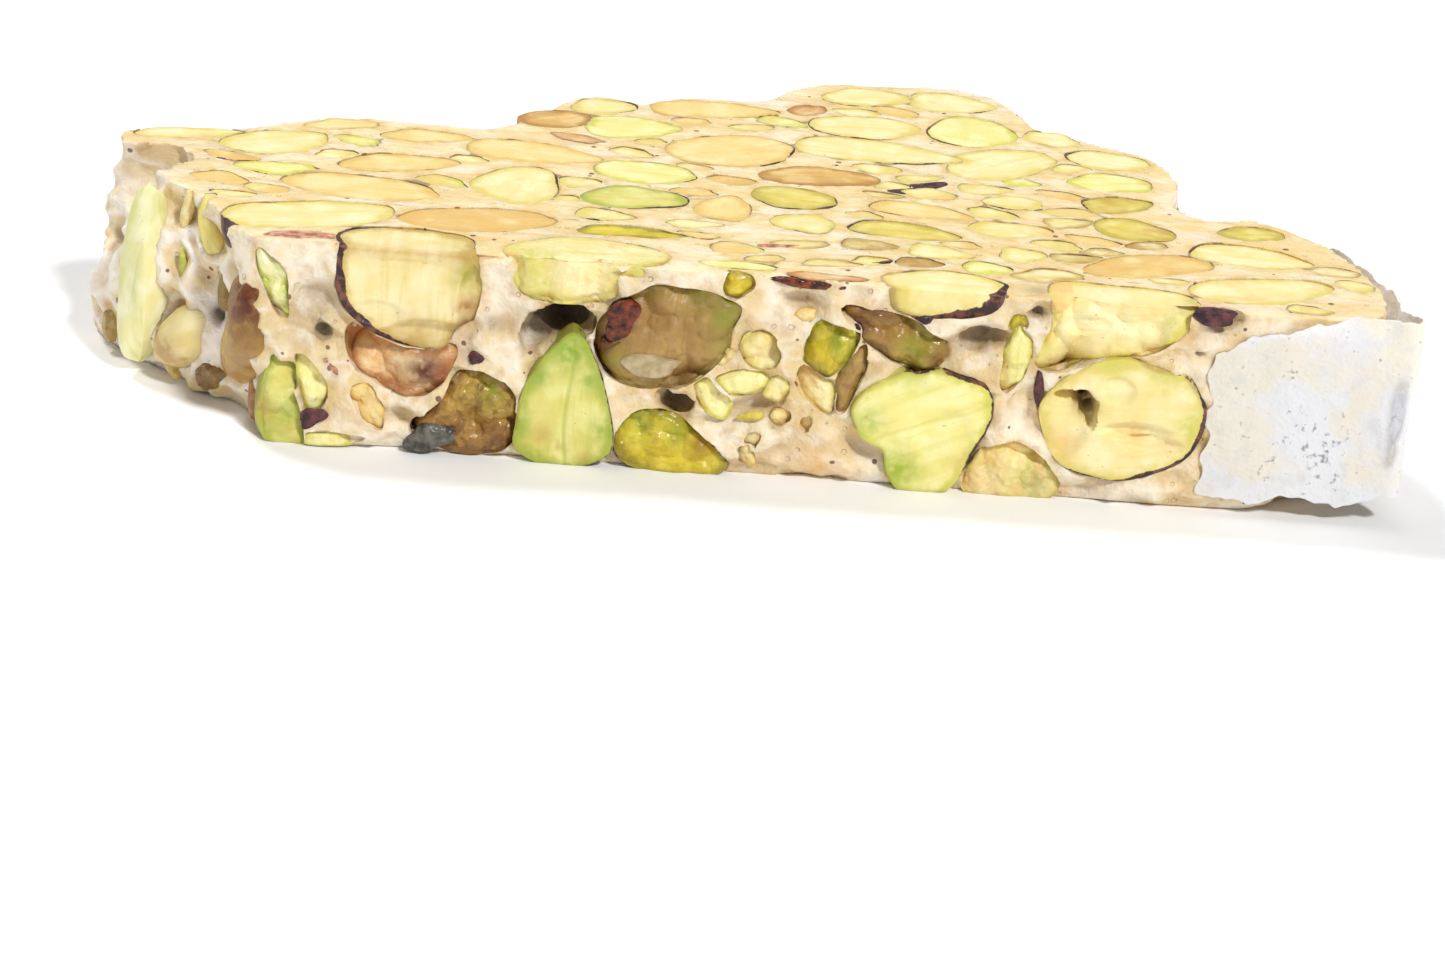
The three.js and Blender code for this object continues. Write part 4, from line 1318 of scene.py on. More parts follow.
# What sets single kernels apart: how they were cut, and how much skin, roast and seam they show.
# Tints are a place on the face, a reach, a channel and a strength. Dents are X and Z of the middle,
# two half sizes and a depth.
HABITS = {
    # front_01: the DARK tint at (72, 9) is painted shade in the deep notch that its dents cut, and the
    # brown tints at (76.5, 6.6) and (79, 5.8) are painted shade in the fold below it.
    "front_01": dict(
        skin=1.1, side=-40, toast=0.2, proud=0.75,
        dents=(
            (70.4, 9.9, 1.2, 0.5, 1.5), (71.6, 9.7, 0.9, 0.8, 2.4), (72.3, 8.8, 0.8, 1.1, 2.8),
            (72.6, 7.8, 0.5, 1, 2.2), (70, 7.2, 2.6, 3.2, 0.8), (76.6, 7, 3.2, 0.9, 0.7),
            (78, 5.9, 3, 0.8, 0.6), (74.6, 10.6, 1.6, 1.4, 0.4)),
        tints=(
            (70.4, 5.2, 1.4, BROWN_AND_SHADE, 0.7), (72, 9, 1, DARK, 0.9), (81.4, 8, 1.5, FRESH, 0.9),
            (76.5, 6.6, 1.5, BROWN_AND_SHADE, 0.6), (79, 5.8, 1.2, BROWN_AND_SHADE, 0.5), (74, 12.7, 1.4, FRESH, 0.7),
            (78.6, 12, 1.4, FRESH, 0.6))),
    "front_02": dict(
        cut=Cut.BROKEN, grain=0.05, skin=-0.5, toast=0.2, proud=0.75,
        dents=((71.4, 16.2, 2.2, 1, 0.5), (76.6, 15.6, 1.4, 1.8, 0.45)),
        tints=((79, 16.6, 1.6, FRESH, 0.8), (68.2, 14, 1.2, FRESH, 0.6), (72, 12.6, 2, BROWN_AND_SHADE, 0.3))),
    # front_03: the brown tint at (14.4, 10.6) browns the lower margin and is also painted shade on the
    # lower facet that the first dent cuts.
    "front_03": dict(
        skin=2.3, side=198, proud=0.75,
        dents=(
            (15.4, 10.4, 4.6, 2, 0.9), (19, 14.2, 1.2, 3.4, 1), (12.6, 17.3, 4, 0.3, 0.25),
            (11, 12.6, 2.4, 1.2, 0.3)),
        tints=(
            (14.4, 10.6, 2.4, BROWN_AND_SHADE, 0.55), (18.6, 13.4, 1.1, BROWN_AND_SHADE, 1), (18.4, 16.4, 1.3, FRESH, 0.9),
            (18.4, 11.9, 0.7, DARK, 0.7))),
    "front_04": dict(
        cut=Cut.BROKEN, grain=0.3, skin=-0.4, proud=0.35,
        tints=((15.2, 7.6, 1.5, DARK, 1), (16.8, 7.4, 1.4, BROWN_AND_SHADE, 0.9), (13, 5.9, 1.4, BROWN_AND_SHADE, 0.7))),
    "front_05": dict(
        cut=Cut.BROKEN, grain=0.8, skin=0.2, proud=0.4,
        tints=(
            (21, 6.2, 1.9, FRESH, 1), (17.6, 2, 2, BROWN_AND_SHADE, 0.8), (22, 2.4, 1, BROWN_AND_SHADE, 0.7),
            (19.6, 4.4, 0.9, DARK, 0.4))),
    "front_06": dict(
        skin=0.5, side=0, split=0.7, proud=0.7,
        tints=(
            (27.6, 10.6, 1.9, FRESH, 1), (29.6, 8, 1.1, FRESH, 0.8), (25, 8, 1.1, FRESH, 0.8),
            (30.9, 3.4, 1.1, FRESH, 0.7), (23.8, 3.4, 0.9, FRESH, 0.6), (25.6, 2.6, 0.9, BROWN_AND_SHADE, 0.6),
            (29.4, 0.8, 0.7, BROWN_AND_SHADE, 0.5))),
    "front_07": dict(
        cut=Cut.BROKEN, grain=0.15, fibre=78, skin=-0.3, proud=0.65,
        tints=(
            (31.8, 13.5, 1.3, DARK, 1), (31, 12, 0.8, DARK, 0.7), (40.6, 14.6, 1.7, FRESH, 1),
            (38, 16, 1.5, FRESH, 0.6), (40.4, 12, 1, FRESH, 0.6), (31.4, 10.2, 1.3, FRESH, 0.7),
            (37.4, 8.6, 1.7, BROWN_AND_SHADE, 0.8), (36.4, 13, 2.6, BROWN_AND_SHADE, 0.3))),
    "front_08": dict(
        cut=Cut.BROKEN, skin=0.2, side=200, toast=0.0, proud=0.7,
        tints=(
            (34, 4.4, 1.5, FRESH, 0.9), (37.4, 3.4, 1.3, FRESH, 0.7), (39.4, 2.6, 1.2, BROWN_AND_SHADE, 0.8),
            (33, 1.8, 0.9, DARK, 0.3))),
    "front_09": dict(
        cut=Cut.BROKEN, skin=-0.4, proud=0.5,
        tints=((50.6, 13.2, 1.5, FRESH, 0.9), (48.6, 11, 0.9, BROWN_AND_SHADE, 0.4))),
    "front_10": dict(
        cut=Cut.BROKEN, skin=0.4, side=150, toast=0.0, proud=0.6,
        tints=((57.2, 13, 2.2, FRESH, 1), (52, 15.3, 1.8, BROWN_AND_SHADE, 0.9), (58.8, 12.2, 0.8, DARK, 0.6))),
    "front_11": dict(
        skin=0.9, side=25, toast=0.0, split=0.55, proud=0.75,
        dents=((60.2, 5, 2.6, 3, 0.3),),
        tints=(
            (56.4, 2, 1.9, FRESH, 1), (53.6, 6, 1.5, FRESH, 0.7), (57, 10.6, 1.4, FRESH, 0.5),
            (61.8, 3, 1.1, BROWN_AND_SHADE, 0.4))),
    "front_12": dict(
        cut=Cut.BROKEN, grain=0.5, skin=-0.4, toast=0.6, proud=0.4,
        tints=(
            (67.6, 2, 2.2, FRESH, 0.8), (64, 3.6, 1.6, FRESH, 0.6), (68.6, 1.4, 1.2, DARK, 0.3),
            (64.6, 1.4, 1.6, BROWN_AND_SHADE, 0.6), (66.4, 4.6, 1, BROWN_AND_SHADE, 0.7))),
    "front_13": dict(
        cut=Cut.BROKEN, skin=-0.2, proud=0.5,
        tints=((3.4, 2.6, 1.6, FRESH, 0.6), (1.6, 3, 1.1, BROWN_AND_SHADE, 0.8))),
    "top_01": dict(skin=0.7, side=-90, toast=0.0, split=0.1),
    "top_02": dict(skin=0.5, side=-80, toast=0.0, split=0.1),
    "top_03": dict(skin=0.5, side=-80, toast=0.0, split=0.1),
    "top_05": dict(skin=0.5, side=-60, toast=1.0, split=0.1),
    "top_33": dict(skin=0.3, side=-90, toast=1.0, split=0.1),
    "top_04": dict(skin=0.5, side=150, toast=0.0, split=0.1),
    "top_15": dict(
        cut=Cut.BROKEN, grain=0.4, skin=-0.2, toast=0.1,
        tints=((24, 1, 2, FRESH, 0.9), (33, 1, 1.5, FRESH, 0.6))),
    "top_36": dict(skin=2.2, side=-56, toast=0.1, split=0.2, flat=0.68),
    "top_29": dict(skin=0.6, side=-80),
    "left_01": dict(cut=Cut.WHOLE, flat=0.8, ribs=0.12, toast=0.0, split=0.0, skin=0.0),
    # left_02: the brown tint at its foot is painted shade in the recess there.
    "left_02": dict(
        cut=Cut.WHOLE, ribs=0.0, toast=0.5, split=0.0, skin=0.0,
        tints=((-8, 2.4, 2.4, BROWN_AND_SHADE, 0.6),)),
    "left_03": dict(
        cut=Cut.WHOLE, lift=0.35, ribs=0.1, toast=0.2, split=0.0, skin=0.3,
        tints=((0, 12.4, 3.4, DARK, 1), (-0.6, 6, 1.6, BROWN_AND_SHADE, 0.3))),
    "left_04": dict(cut=Cut.WHOLE, ribs=0.1, toast=0.2, split=0.0, skin=0.0),
}


class KernelSet:
    """All kernels of the slice, from the nodes' own to the smallest bits."""

    def __init__(self, plan: SlicePlan, workshop: Workshop) -> None:
        self.plan = plan
        self.workshop = workshop
        self.main: list[Kernel] = []
        self.small: list[Kernel] = []
        self.scraps: list[Kernel] = []

    @property
    def all(self) -> list[Kernel]:
        """Every kernel and scrap."""
        return self.main + self.small + self.scraps

    def _add(self, group: list[Kernel], kernel: Kernel) -> None:
        """Keep a kernel and note which earlier ones it touches.

        Args:
            group: List that it goes into.
            kernel: The kernel.
        """
        for other in self.all:
            if np.linalg.norm(other.centre - kernel.centre) < other.reach + kernel.reach:
                if other.clearance(kernel.centre[None])[0] > GIVES_WAY:
                    kernel.neighbours.append(other)
        group.append(kernel)

    def lay_out(self) -> None:
        """Set out every kernel on its face."""
        for face, rows in KERNELS.items():
            for i, row in enumerate(rows, 1):
                name = f"{face.value}_{i:02d}"
                seed = (0.618 * (i + 40 * len(self.main))) % 1.0
                habit = dict(skin=-0.1 + 1.1 * ((7 * seed) % 1), side=-90 + 110 * math.sin(40 * seed),
                             toast=(3 * seed) % 1, split=(5 * seed) % 1 * 0.5)
                if face is Face.FRONT:
                    habit.update(split=0.0, toast=0.1)
                habit.update(HABITS.get(name, {}))
                if face is Face.BACK:
                    habit.update(cut=Cut.WHOLE, skin=0.0, ribs=0.06)
                outline = OUTLINES.get(name, ())
                self._add(self.main, Kernel(name, face, row, self.plan, seed, outline=outline,
                                            detail=6 if outline else 5, **habit))
        for i, (face, *row) in enumerate(SMALL_KERNELS):
            seed = (0.377 * (i + 1)) % 1.0
            cut, skin = Cut.SLICED, -0.3 + 0.9 * seed
            if face is not Face.TOP:
                cut, skin = Cut.BROKEN, -1.0
            name = f"small_{i:02d}"
            self._add(self.small, Kernel(name, face, tuple(row), self.plan, seed, cut=cut, skin=skin,
                                         toast=0.3 * seed, split=0.2, proud=0.5, lump=0.1, grain=0.5,
                                         outline=OUTLINES.get(name, ()), detail=4))
        for fill in FILLS:
            self._scatter(*fill)
        for i, (face, *row) in enumerate(SCRAPS):
            seed = (0.531 * (i + 1)) % 1.0
            self._add(self.scraps, Kernel(f"scrap_{i:02d}", face, tuple(row), self.plan, seed,
                                          cut=Cut.WHOLE, proud=0.95, lump=0.13, detail=4))

    def _scatter(self, face: Face, count: int, across: tuple, up: tuple, kinds: tuple) -> None:
        """Fill gaps between the kernels of a face with smaller ones.

        Args:
            face: The face.
            count: Most kernels to add.
            across: Range of the first place on the face.
            up: Range of the second place.
            kinds: Finishes to choose from.
        """
        chance = np.random.default_rng(len(self.small))
        spots = np.column_stack([chance.uniform(*across, SPOTS), chance.uniform(*up, SPOTS)])
        seats = [self.plan.seat(face, u, v) for u, v in spots]
        points = np.array([seat.point for seat in seats])
        gap = self.clearance(points)
        if face in (Face.TOP, Face.BASE):
            gap = np.minimum(gap, self.plan.depth_in(points) - LEAST_ROOM)
        for at, half in HOLLOWS:
            gap = np.minimum(gap, np.linalg.norm(points - np.array(at), axis=1) - max(half))
        for _ in range(count):
            i = int(gap.argmax())
            room = gap[i]
            if room < LEAST_ROOM:
                break
            length = min(7.6 if face is Face.BASE else 5.4, 2.6 * room + 1) * chance.uniform(0.85, 1.15)
            width = min(length * chance.uniform(0.5, 0.7), 2.4 * room)
            rise = -0.3 * width if face in (Face.TOP, Face.BASE) else 0.3 - 0.35 * width
            turn = chance.uniform(-25, 25)
            row = (*spots[i], length, width, turn, rise, kinds[int(chance.integers(len(kinds)))])
            cut = Cut.WHOLE if face is Face.BACK else Cut.SLICED
            kernel = Kernel(f"fill_{len(self.small):02d}", face, row, self.plan, chance.uniform(),
                            cut=cut, skin=chance.uniform(-0.6, 0.6), toast=chance.uniform(), split=0.1,
                            lump=0.1, detail=3)
            self._add(self.small, kernel)
            gap = np.minimum(gap, kernel.clearance(points))

    def build(self) -> None:
        """Make the pieces."""
        skins = {name: finish.material() for name, finish in KERNEL_FINISHES.items()}
        for kernel in self.main:
            mesh = kernel.build(self.workshop.sphere(kernel.detail))
            kind = kernel.row[-1]
            shown = LIGHTER.get((kernel.face, kind), kind)
            self.workshop.place(mesh, f"pistachio_{kernel.name}", skins[shown], f"kernel_{kind}",
                                [f"kernel_{kernel.name}"])
        for kind, material in skins.items():
            meshes = [k.build(self.workshop.sphere(k.detail)) for k in self.small if k.row[-1] == kind]
            if meshes:
                joined = self.workshop.join(meshes, f"bits_{kind}")
                slot = f"kernel_{SHADES.get(kind, kind)}"
                self.workshop.place(joined, f"pistachio_bits_{kind}", material, slot)
        for kind, finish in SCRAP_FINISHES.items():
            meshes = [k.build(self.workshop.sphere(k.detail)) for k in self.scraps if k.row[-1] == kind]
            if meshes:
                joined = self.workshop.join(meshes, f"scraps_{kind}")
                self.workshop.place(joined, f"scraps_{kind}", finish.material(), SCRAP_SLOTS[kind])

    def cutters(self) -> list[bpy.types.Mesh]:
        """Make grown copies of the kernels, which cut their pockets in the nougat.

        Returns:
            A mesh for each kernel.
        """
        made = []
        for kernel in self.all:
            mesh = self.workshop.sphere(4 if kernel.detail > 4 else 3).copy()
            made.append(move_points(mesh, kernel.surface(points_of(mesh), grow=POCKET_GAP)))
        return made

    def clearance(self, points: np.ndarray) -> np.ndarray:
        """Distance of each point to the nearest kernel."""
        return np.min([k.clearance(points) for k in self.main + self.small], axis=0)


@dataclass
class NougatMass:
    """The nougat itself: whipped egg white, sugar and honey, torn at its wall and cut flat above."""

    plan: SlicePlan
    workshop: Workshop
    kernels: KernelSet
    outline_steps: int = 320
    levels: tuple = (0, 0.5, 1.1, 3, 5, 7.2, 9.5, 11.8, 14, 16, 17.7, 18.2, THICKNESS)
    voxel: float = 0.4
    kept: float = 0.4  # share of the remeshed faces that is kept
    swells: tuple = ((0.36, 4.2, 1), (0.18, 1.5, 2))  # of the wall
    sinks: tuple = ((0.05, 3.0, 5), (0.03, 0.9, 6))  # of the cut face
    margin: float = 0.03  # kept from the model's box
    front_limit: float = 0.75  # how far the wall may stand out of the front
    # Centre and reach of the painted light on the left end.
    left_light_at: tuple = (-9, 13, 8)
    left_light_reach: float = 13

    def build(self) -> None:
        """Make the piece."""
        mesh = self._blank()
        hollows = [self._hollow(*row) for row in HOLLOWS]
        carve = {"operation": "DIFFERENCE", "solver": "MANIFOLD"}
        mesh = self.workshop.changed(mesh, "BOOLEAN", carve, hollows)
        mesh = self.workshop.changed(mesh, "REMESH", {"mode": "VOXEL", "voxel_size": self.voxel})
        self._tear(mesh)
        mesh = self.workshop.changed(mesh, "DECIMATE", {"ratio": self.kept})
        for vert in mesh.vertices:
            vert.co.z = max(vert.co.z, 0.0)
        mesh = self.workshop.changed(mesh, "BOOLEAN", carve, self.kernels.cutters())
        self._mark(mesh)
        mesh.shade_smooth()
        mesh.set_sharp_from_angle(angle=math.radians(60))
        self.workshop.place(mesh, "nougat_mass", self._material(), "nougat", ["nougat_body"])

    def _blank(self) -> bpy.types.Mesh:
        """Make the slice with a rippled wall, before anything is cut from it.

        Returns:
            The mesh.
        """
        bm = bmesh.new()
        ring = bmesh.ops.create_circle(bm, cap_ends=True, segments=self.outline_steps, radius=1)["verts"]
        run = np.arange(self.outline_steps) / self.outline_steps * self.plan.length
        for level in self.levels:
            if level:
                face = [f for f in bm.faces if len(f.verts) == self.outline_steps and ring[0] in f.verts]
                made = bmesh.ops.extrude_face_region(bm, geom=face)["geom"]
                grown = {v for v in made if isinstance(v, bmesh.types.BMVert)}
                ring = [next(e.other_vert(v) for e in v.link_edges if e.other_vert(v) in grown)
                        for v in ring]
                if level > self.levels[1]:
                    bmesh.ops.delete(bm, geom=face, context="FACES_ONLY")
            z = np.full(self.outline_steps, float(level))
            point, out = self.plan.wall(run, z)
            swell = self.plan.ripple(run, z) - EDGE_ROUNDING * max(0.0, 1 - level / 1.1)
            for vert, place in zip(ring, point + out * swell[:, None]):
                vert.co = place
        bmesh.ops.recalc_face_normals(bm, faces=bm.faces)
        return finished(bm, "blank")

    def _hollow(self, at: tuple, half: tuple) -> bpy.types.Mesh:
        """Make an egg-shaped hollow, a little uneven.

        Args:
            at: Its middle.
            half: Its three half sizes.

        Returns:
            The mesh.
        """
        mesh = self.workshop.sphere(4).copy()
        directions = points_of(mesh)
        uneven = 1 + 0.14 * lumps(directions, 0.8, sum(at))
        return move_points(mesh, np.array(at) + directions * np.array(half) * uneven[:, None])

    def _tear(self, mesh: bpy.types.Mesh) -> None:
        """Roughen the wall as stretched nougat is, and let the cut face sink between the kernels.

        Args:
            mesh: The slice, in millimetres.
        """
        places, normals = points_of(mesh), points_of(mesh, "vector")
        gap = self.kernels.clearance(places)
        level = smoothstep(0.55, 0.9, normals[:, 2]) * smoothstep(17.9, 18.2, places[:, 2])
        under = smoothstep(0.6, 0.9, -normals[:, 2]) * (places[:, 2] < 0.4)
        wall = np.clip(1 - level - under, 0, 1) * smoothstep(0.0, 1.0, places[:, 2])
        papered = smoothstep(80, 84, places[:, 0]) * (places[:, 1] < 25)
        wall *= 1 - 0.7 * papered
        wall *= 1 - 0.75 * smoothstep(22, 30, places[:, 1]) * smoothstep(15.5, 17.5, places[:, 2])
        swell = layered(places, self.swells) + 0.9 * self._strands(places)
        lip = (0.22 + 0.3 * lumps(places, 3.1, 4)) * np.exp(-np.abs(gap) / 0.7)
        step = wall * (swell + lip)
        shallow = 0.07 + layered(places, self.sinks)
        step -= level * (shallow - 0.04 * np.exp(-np.abs(gap) / 0.5))
        step -= level * np.exp(-np.maximum(places[:, 1], 0) / 0.7) * (0.2 + 0.2 * lumps(places, 2.4, 8))
        places += normals * step[:, None]
        low, high = cad_box_here()
        places[:, :2] = np.clip(places[:, :2], low[:2] + self.margin, high[:2] - self.margin)
        places[:, 2] = np.clip(places[:, 2], 0, THICKNESS)
        places[:, 1] = np.maximum(places[:, 1], -self.front_limit)
        move_points(mesh, places)

    @staticmethod
    def _strands(places: np.ndarray) -> np.ndarray:
        """Crests that stretched nougat stands up in, 0.3 on a crest and below 0 between them."""
        return 0.3 - np.abs(lumps(places * np.array([0.7, 0.7, 1.0]), 2.6, 3))

    def _mark(self, mesh: bpy.types.Mesh) -> None:
        """Store the distance to the nearest kernel, the cut face, the crests, which carry a painted
        highlight, painted shade and the painted light of the left end, and the stained places with the
        painted shade of the hollows.

        Args:
            mesh: The slice, in millimetres.
        """
        places, normals = points_of(mesh), points_of(mesh, "vector")
        gap = np.clip(self.kernels.clearance(places), 0, 4)
        level = smoothstep(17.6, 18.1, places[:, 2]) * smoothstep(0.3, 0.8, normals[:, 2])
        stains_and_shade = np.zeros((len(places), 4))
        for at, reach, kind, strength in STAINS_AND_SHADE:
            near = np.exp(-((places - np.array(at)) ** 2).sum(1) / reach**2 * 1.4)
            stains_and_shade[:, kind] = np.maximum(stains_and_shade[:, kind], strength * near)
        # Painted light: the left end is painted the whitest, as if its wall were lit more strongly, by
        # raising the painted highlight of the crests there.
        left_light = np.exp(-((places - np.array(self.left_light_at)) ** 2).sum(1) / self.left_light_reach**2)
        crest = self._strands(places) + 0.4 * left_light
        zone = mesh.attributes.new("zone", "FLOAT_VECTOR", "POINT")
        zone.data.foreach_set("vector", np.column_stack([gap, level, crest]).ravel())
        stain_and_shade = mesh.attributes.new("stain_and_shade", "FLOAT_COLOR", "POINT")
        stain_and_shade.data.foreach_set("color", stains_and_shade.ravel())

    def _material(self) -> bpy.types.Material:
        """Soft nougat: matt, creamy and full of light, oily and warmer where it was cut."""
        made, node = blank_material("soft_honey_nougat")
        place = node(Kind.PLACE).outputs["Object"]
        zone, stain_and_shade = (node(Kind.ATTRIBUTE, settings={"attribute_name": key}).outputs
                       for key in ("zone", "stain_and_shade"))
        gap, level, crest = node(Kind.AXES, zone["Vector"]).outputs
        grey_and_shade, scorch, oil = node(Kind.CHANNELS, stain_and_shade["Color"]).outputs
        marble, patch, damp, lump, blot, fine = (
            node(Kind.NOISE, place, per_mm(size), detail)
            for size, detail in ((5.0, 3.0), (2.2, 2.0), (1.5, 3.0), (1.1, 5.0), (2.1, 1.0), (0.35, 3.0)))
        # Streaks that the knife drew along the cut face, six times as long as wide.
        drawn = node(Kind.MAPPING, place, inputs={"Rotation": (0, 0, math.radians(-6)),
                                                  "Scale": (0.16, 1.0, 1.0)})
        bands, smears, lines = (node(Kind.NOISE, drawn, per_mm(size), detail)
                                for size, detail in ((2.4, 3.0), (1.1, 3.0), (0.8, 4.0)))
        wall = node(Kind.BLEND, node(Kind.RAMP, marble, 0.4, 0.6), "#e6ce9e", "#f8ead2")
        for share, tone in (
            (node(Kind.RAMP, patch, 0.5, 0.7, 0.0, 0.6), "#cdb087"),
            # Painted shade in the creases between the crests.
            (node(Kind.RAMP, crest, -0.9, -0.1, 0.5, 0.0), "#b3956c"),
            # Painted highlight on the crests, strongest at the left end.
            (node(Kind.RAMP, crest, 0.05, 0.5, 0.0, 0.9), "#fdf4ea"),
        ):
            wall = node(Kind.BLEND, share, wall, tone)
        top = node(Kind.BLEND, node(Kind.RAMP, marble, 0.35, 0.65), "#f0d69c", "#f7e8c4")
        top = node(Kind.BLEND, node(Kind.RAMP, bands, 0.52, 0.66, 0.0, 0.7), top, "#f8e8d4")
        top = node(Kind.BLEND, node(Kind.TIMES, node(Kind.RAMP, smears, 0.5, 0.68), 0.6), top, "#ecca84")
        # Oil from the roasted kernels soaks in for about a millimetre.
        halo = node(Kind.RAMP, gap, 0.1, 1.3, 1.0, 0.0)
        soaked = node(Kind.TIMES, halo, node(Kind.RAMP, damp, 0.42, 0.62, 0.1, 0.8))
        soaked = node(Kind.TIMES, soaked, node(Kind.RAMP, level, 0, 1, 0.6, 0.9))
        # Shreds of skin, 0.15 to 0.3 mm, scattered a few millimetres apart.
        shreds = node(Kind.CELLS, place, per_mm(1.9)).outputs
        chosen = node(Kind.CHANNELS, shreds["Color"]).outputs[0]
        size = node(Kind.RAMP, chosen, 0.45, 1.0, 0.0, 0.16)
        speck = node(Kind.RAMP, node(Kind.MINUS, shreds["Distance"], size), -0.02, 0.015, 1.0, 0.0)
        scratch = node(Kind.TIMES, node(Kind.RAMP, lines, 0.67, 0.73), level)
        rim = node(Kind.TIMES, node(Kind.RAMP, gap, 0.02, 0.2, 1.0, 0.0),
                   node(Kind.RAMP, blot, 0.54, 0.66, 0.0, 0.6))
        colour = node(Kind.BLEND, level, wall, top)
        for share, tone in (
            (soaked, "#e3bd74"),
            (node(Kind.TIMES, oil, node(Kind.RAMP, patch, 0.4, 0.65, 0.3, 1.0)), "#f0c684"),
            # Grey bruises, and painted shade in and round the hollows.
            (node(Kind.TIMES, grey_and_shade, node(Kind.RAMP, fine, 0.25, 0.6, 0.6, 1.0)), "#988b78"),
            (scorch, "#8a4a34"),
            # Painted shade deep inside the hollows.
            (stain_and_shade["Alpha"], "#3a2013"),
            (node(Kind.TIMES, speck, 0.85), "#6b3f3a"),
            (node(Kind.TIMES, scratch, 0.5), "#9a6a5a"),
            (rim, "#5c3a34"),
        ):
            colour = node(Kind.BLEND, share, colour, tone)
        # Burst air bubbles, pits of 0.2 to 0.5 mm.
        bubbles = node(Kind.CELLS, place, per_mm(1.4)).outputs
        burst = node(Kind.RAMP, node(Kind.CHANNELS, bubbles["Color"]).outputs[1], 0.3, 1.0, 0.0, 0.22)
        pits = node(Kind.RAMP, node(Kind.MINUS, bubbles["Distance"], burst), -0.08, 0.0)
        height = node(Kind.PLUS, node(Kind.TIMES, lump, 0.9), node(Kind.TIMES, fine, 0.3))
        height = node(Kind.PLUS, height, node(Kind.TIMES, pits, 0.5))
        bump = node(Kind.BUMP, inputs={"Strength": 0.9, "Distance": 0.4 * MM, "Height": height})
        node(Kind.OUTPUT, node(Kind.SHADER, inputs={
            "Base Color": colour, "Roughness": node(Kind.RAMP, patch, 0.3, 0.7, 0.36, 0.6), "IOR": 1.45,
            "Normal": bump, "Subsurface Weight": 0.3, "Subsurface Radius": (1.0, 0.7, 0.5),
            "Subsurface Scale": 0.8 * MM}))
        return made


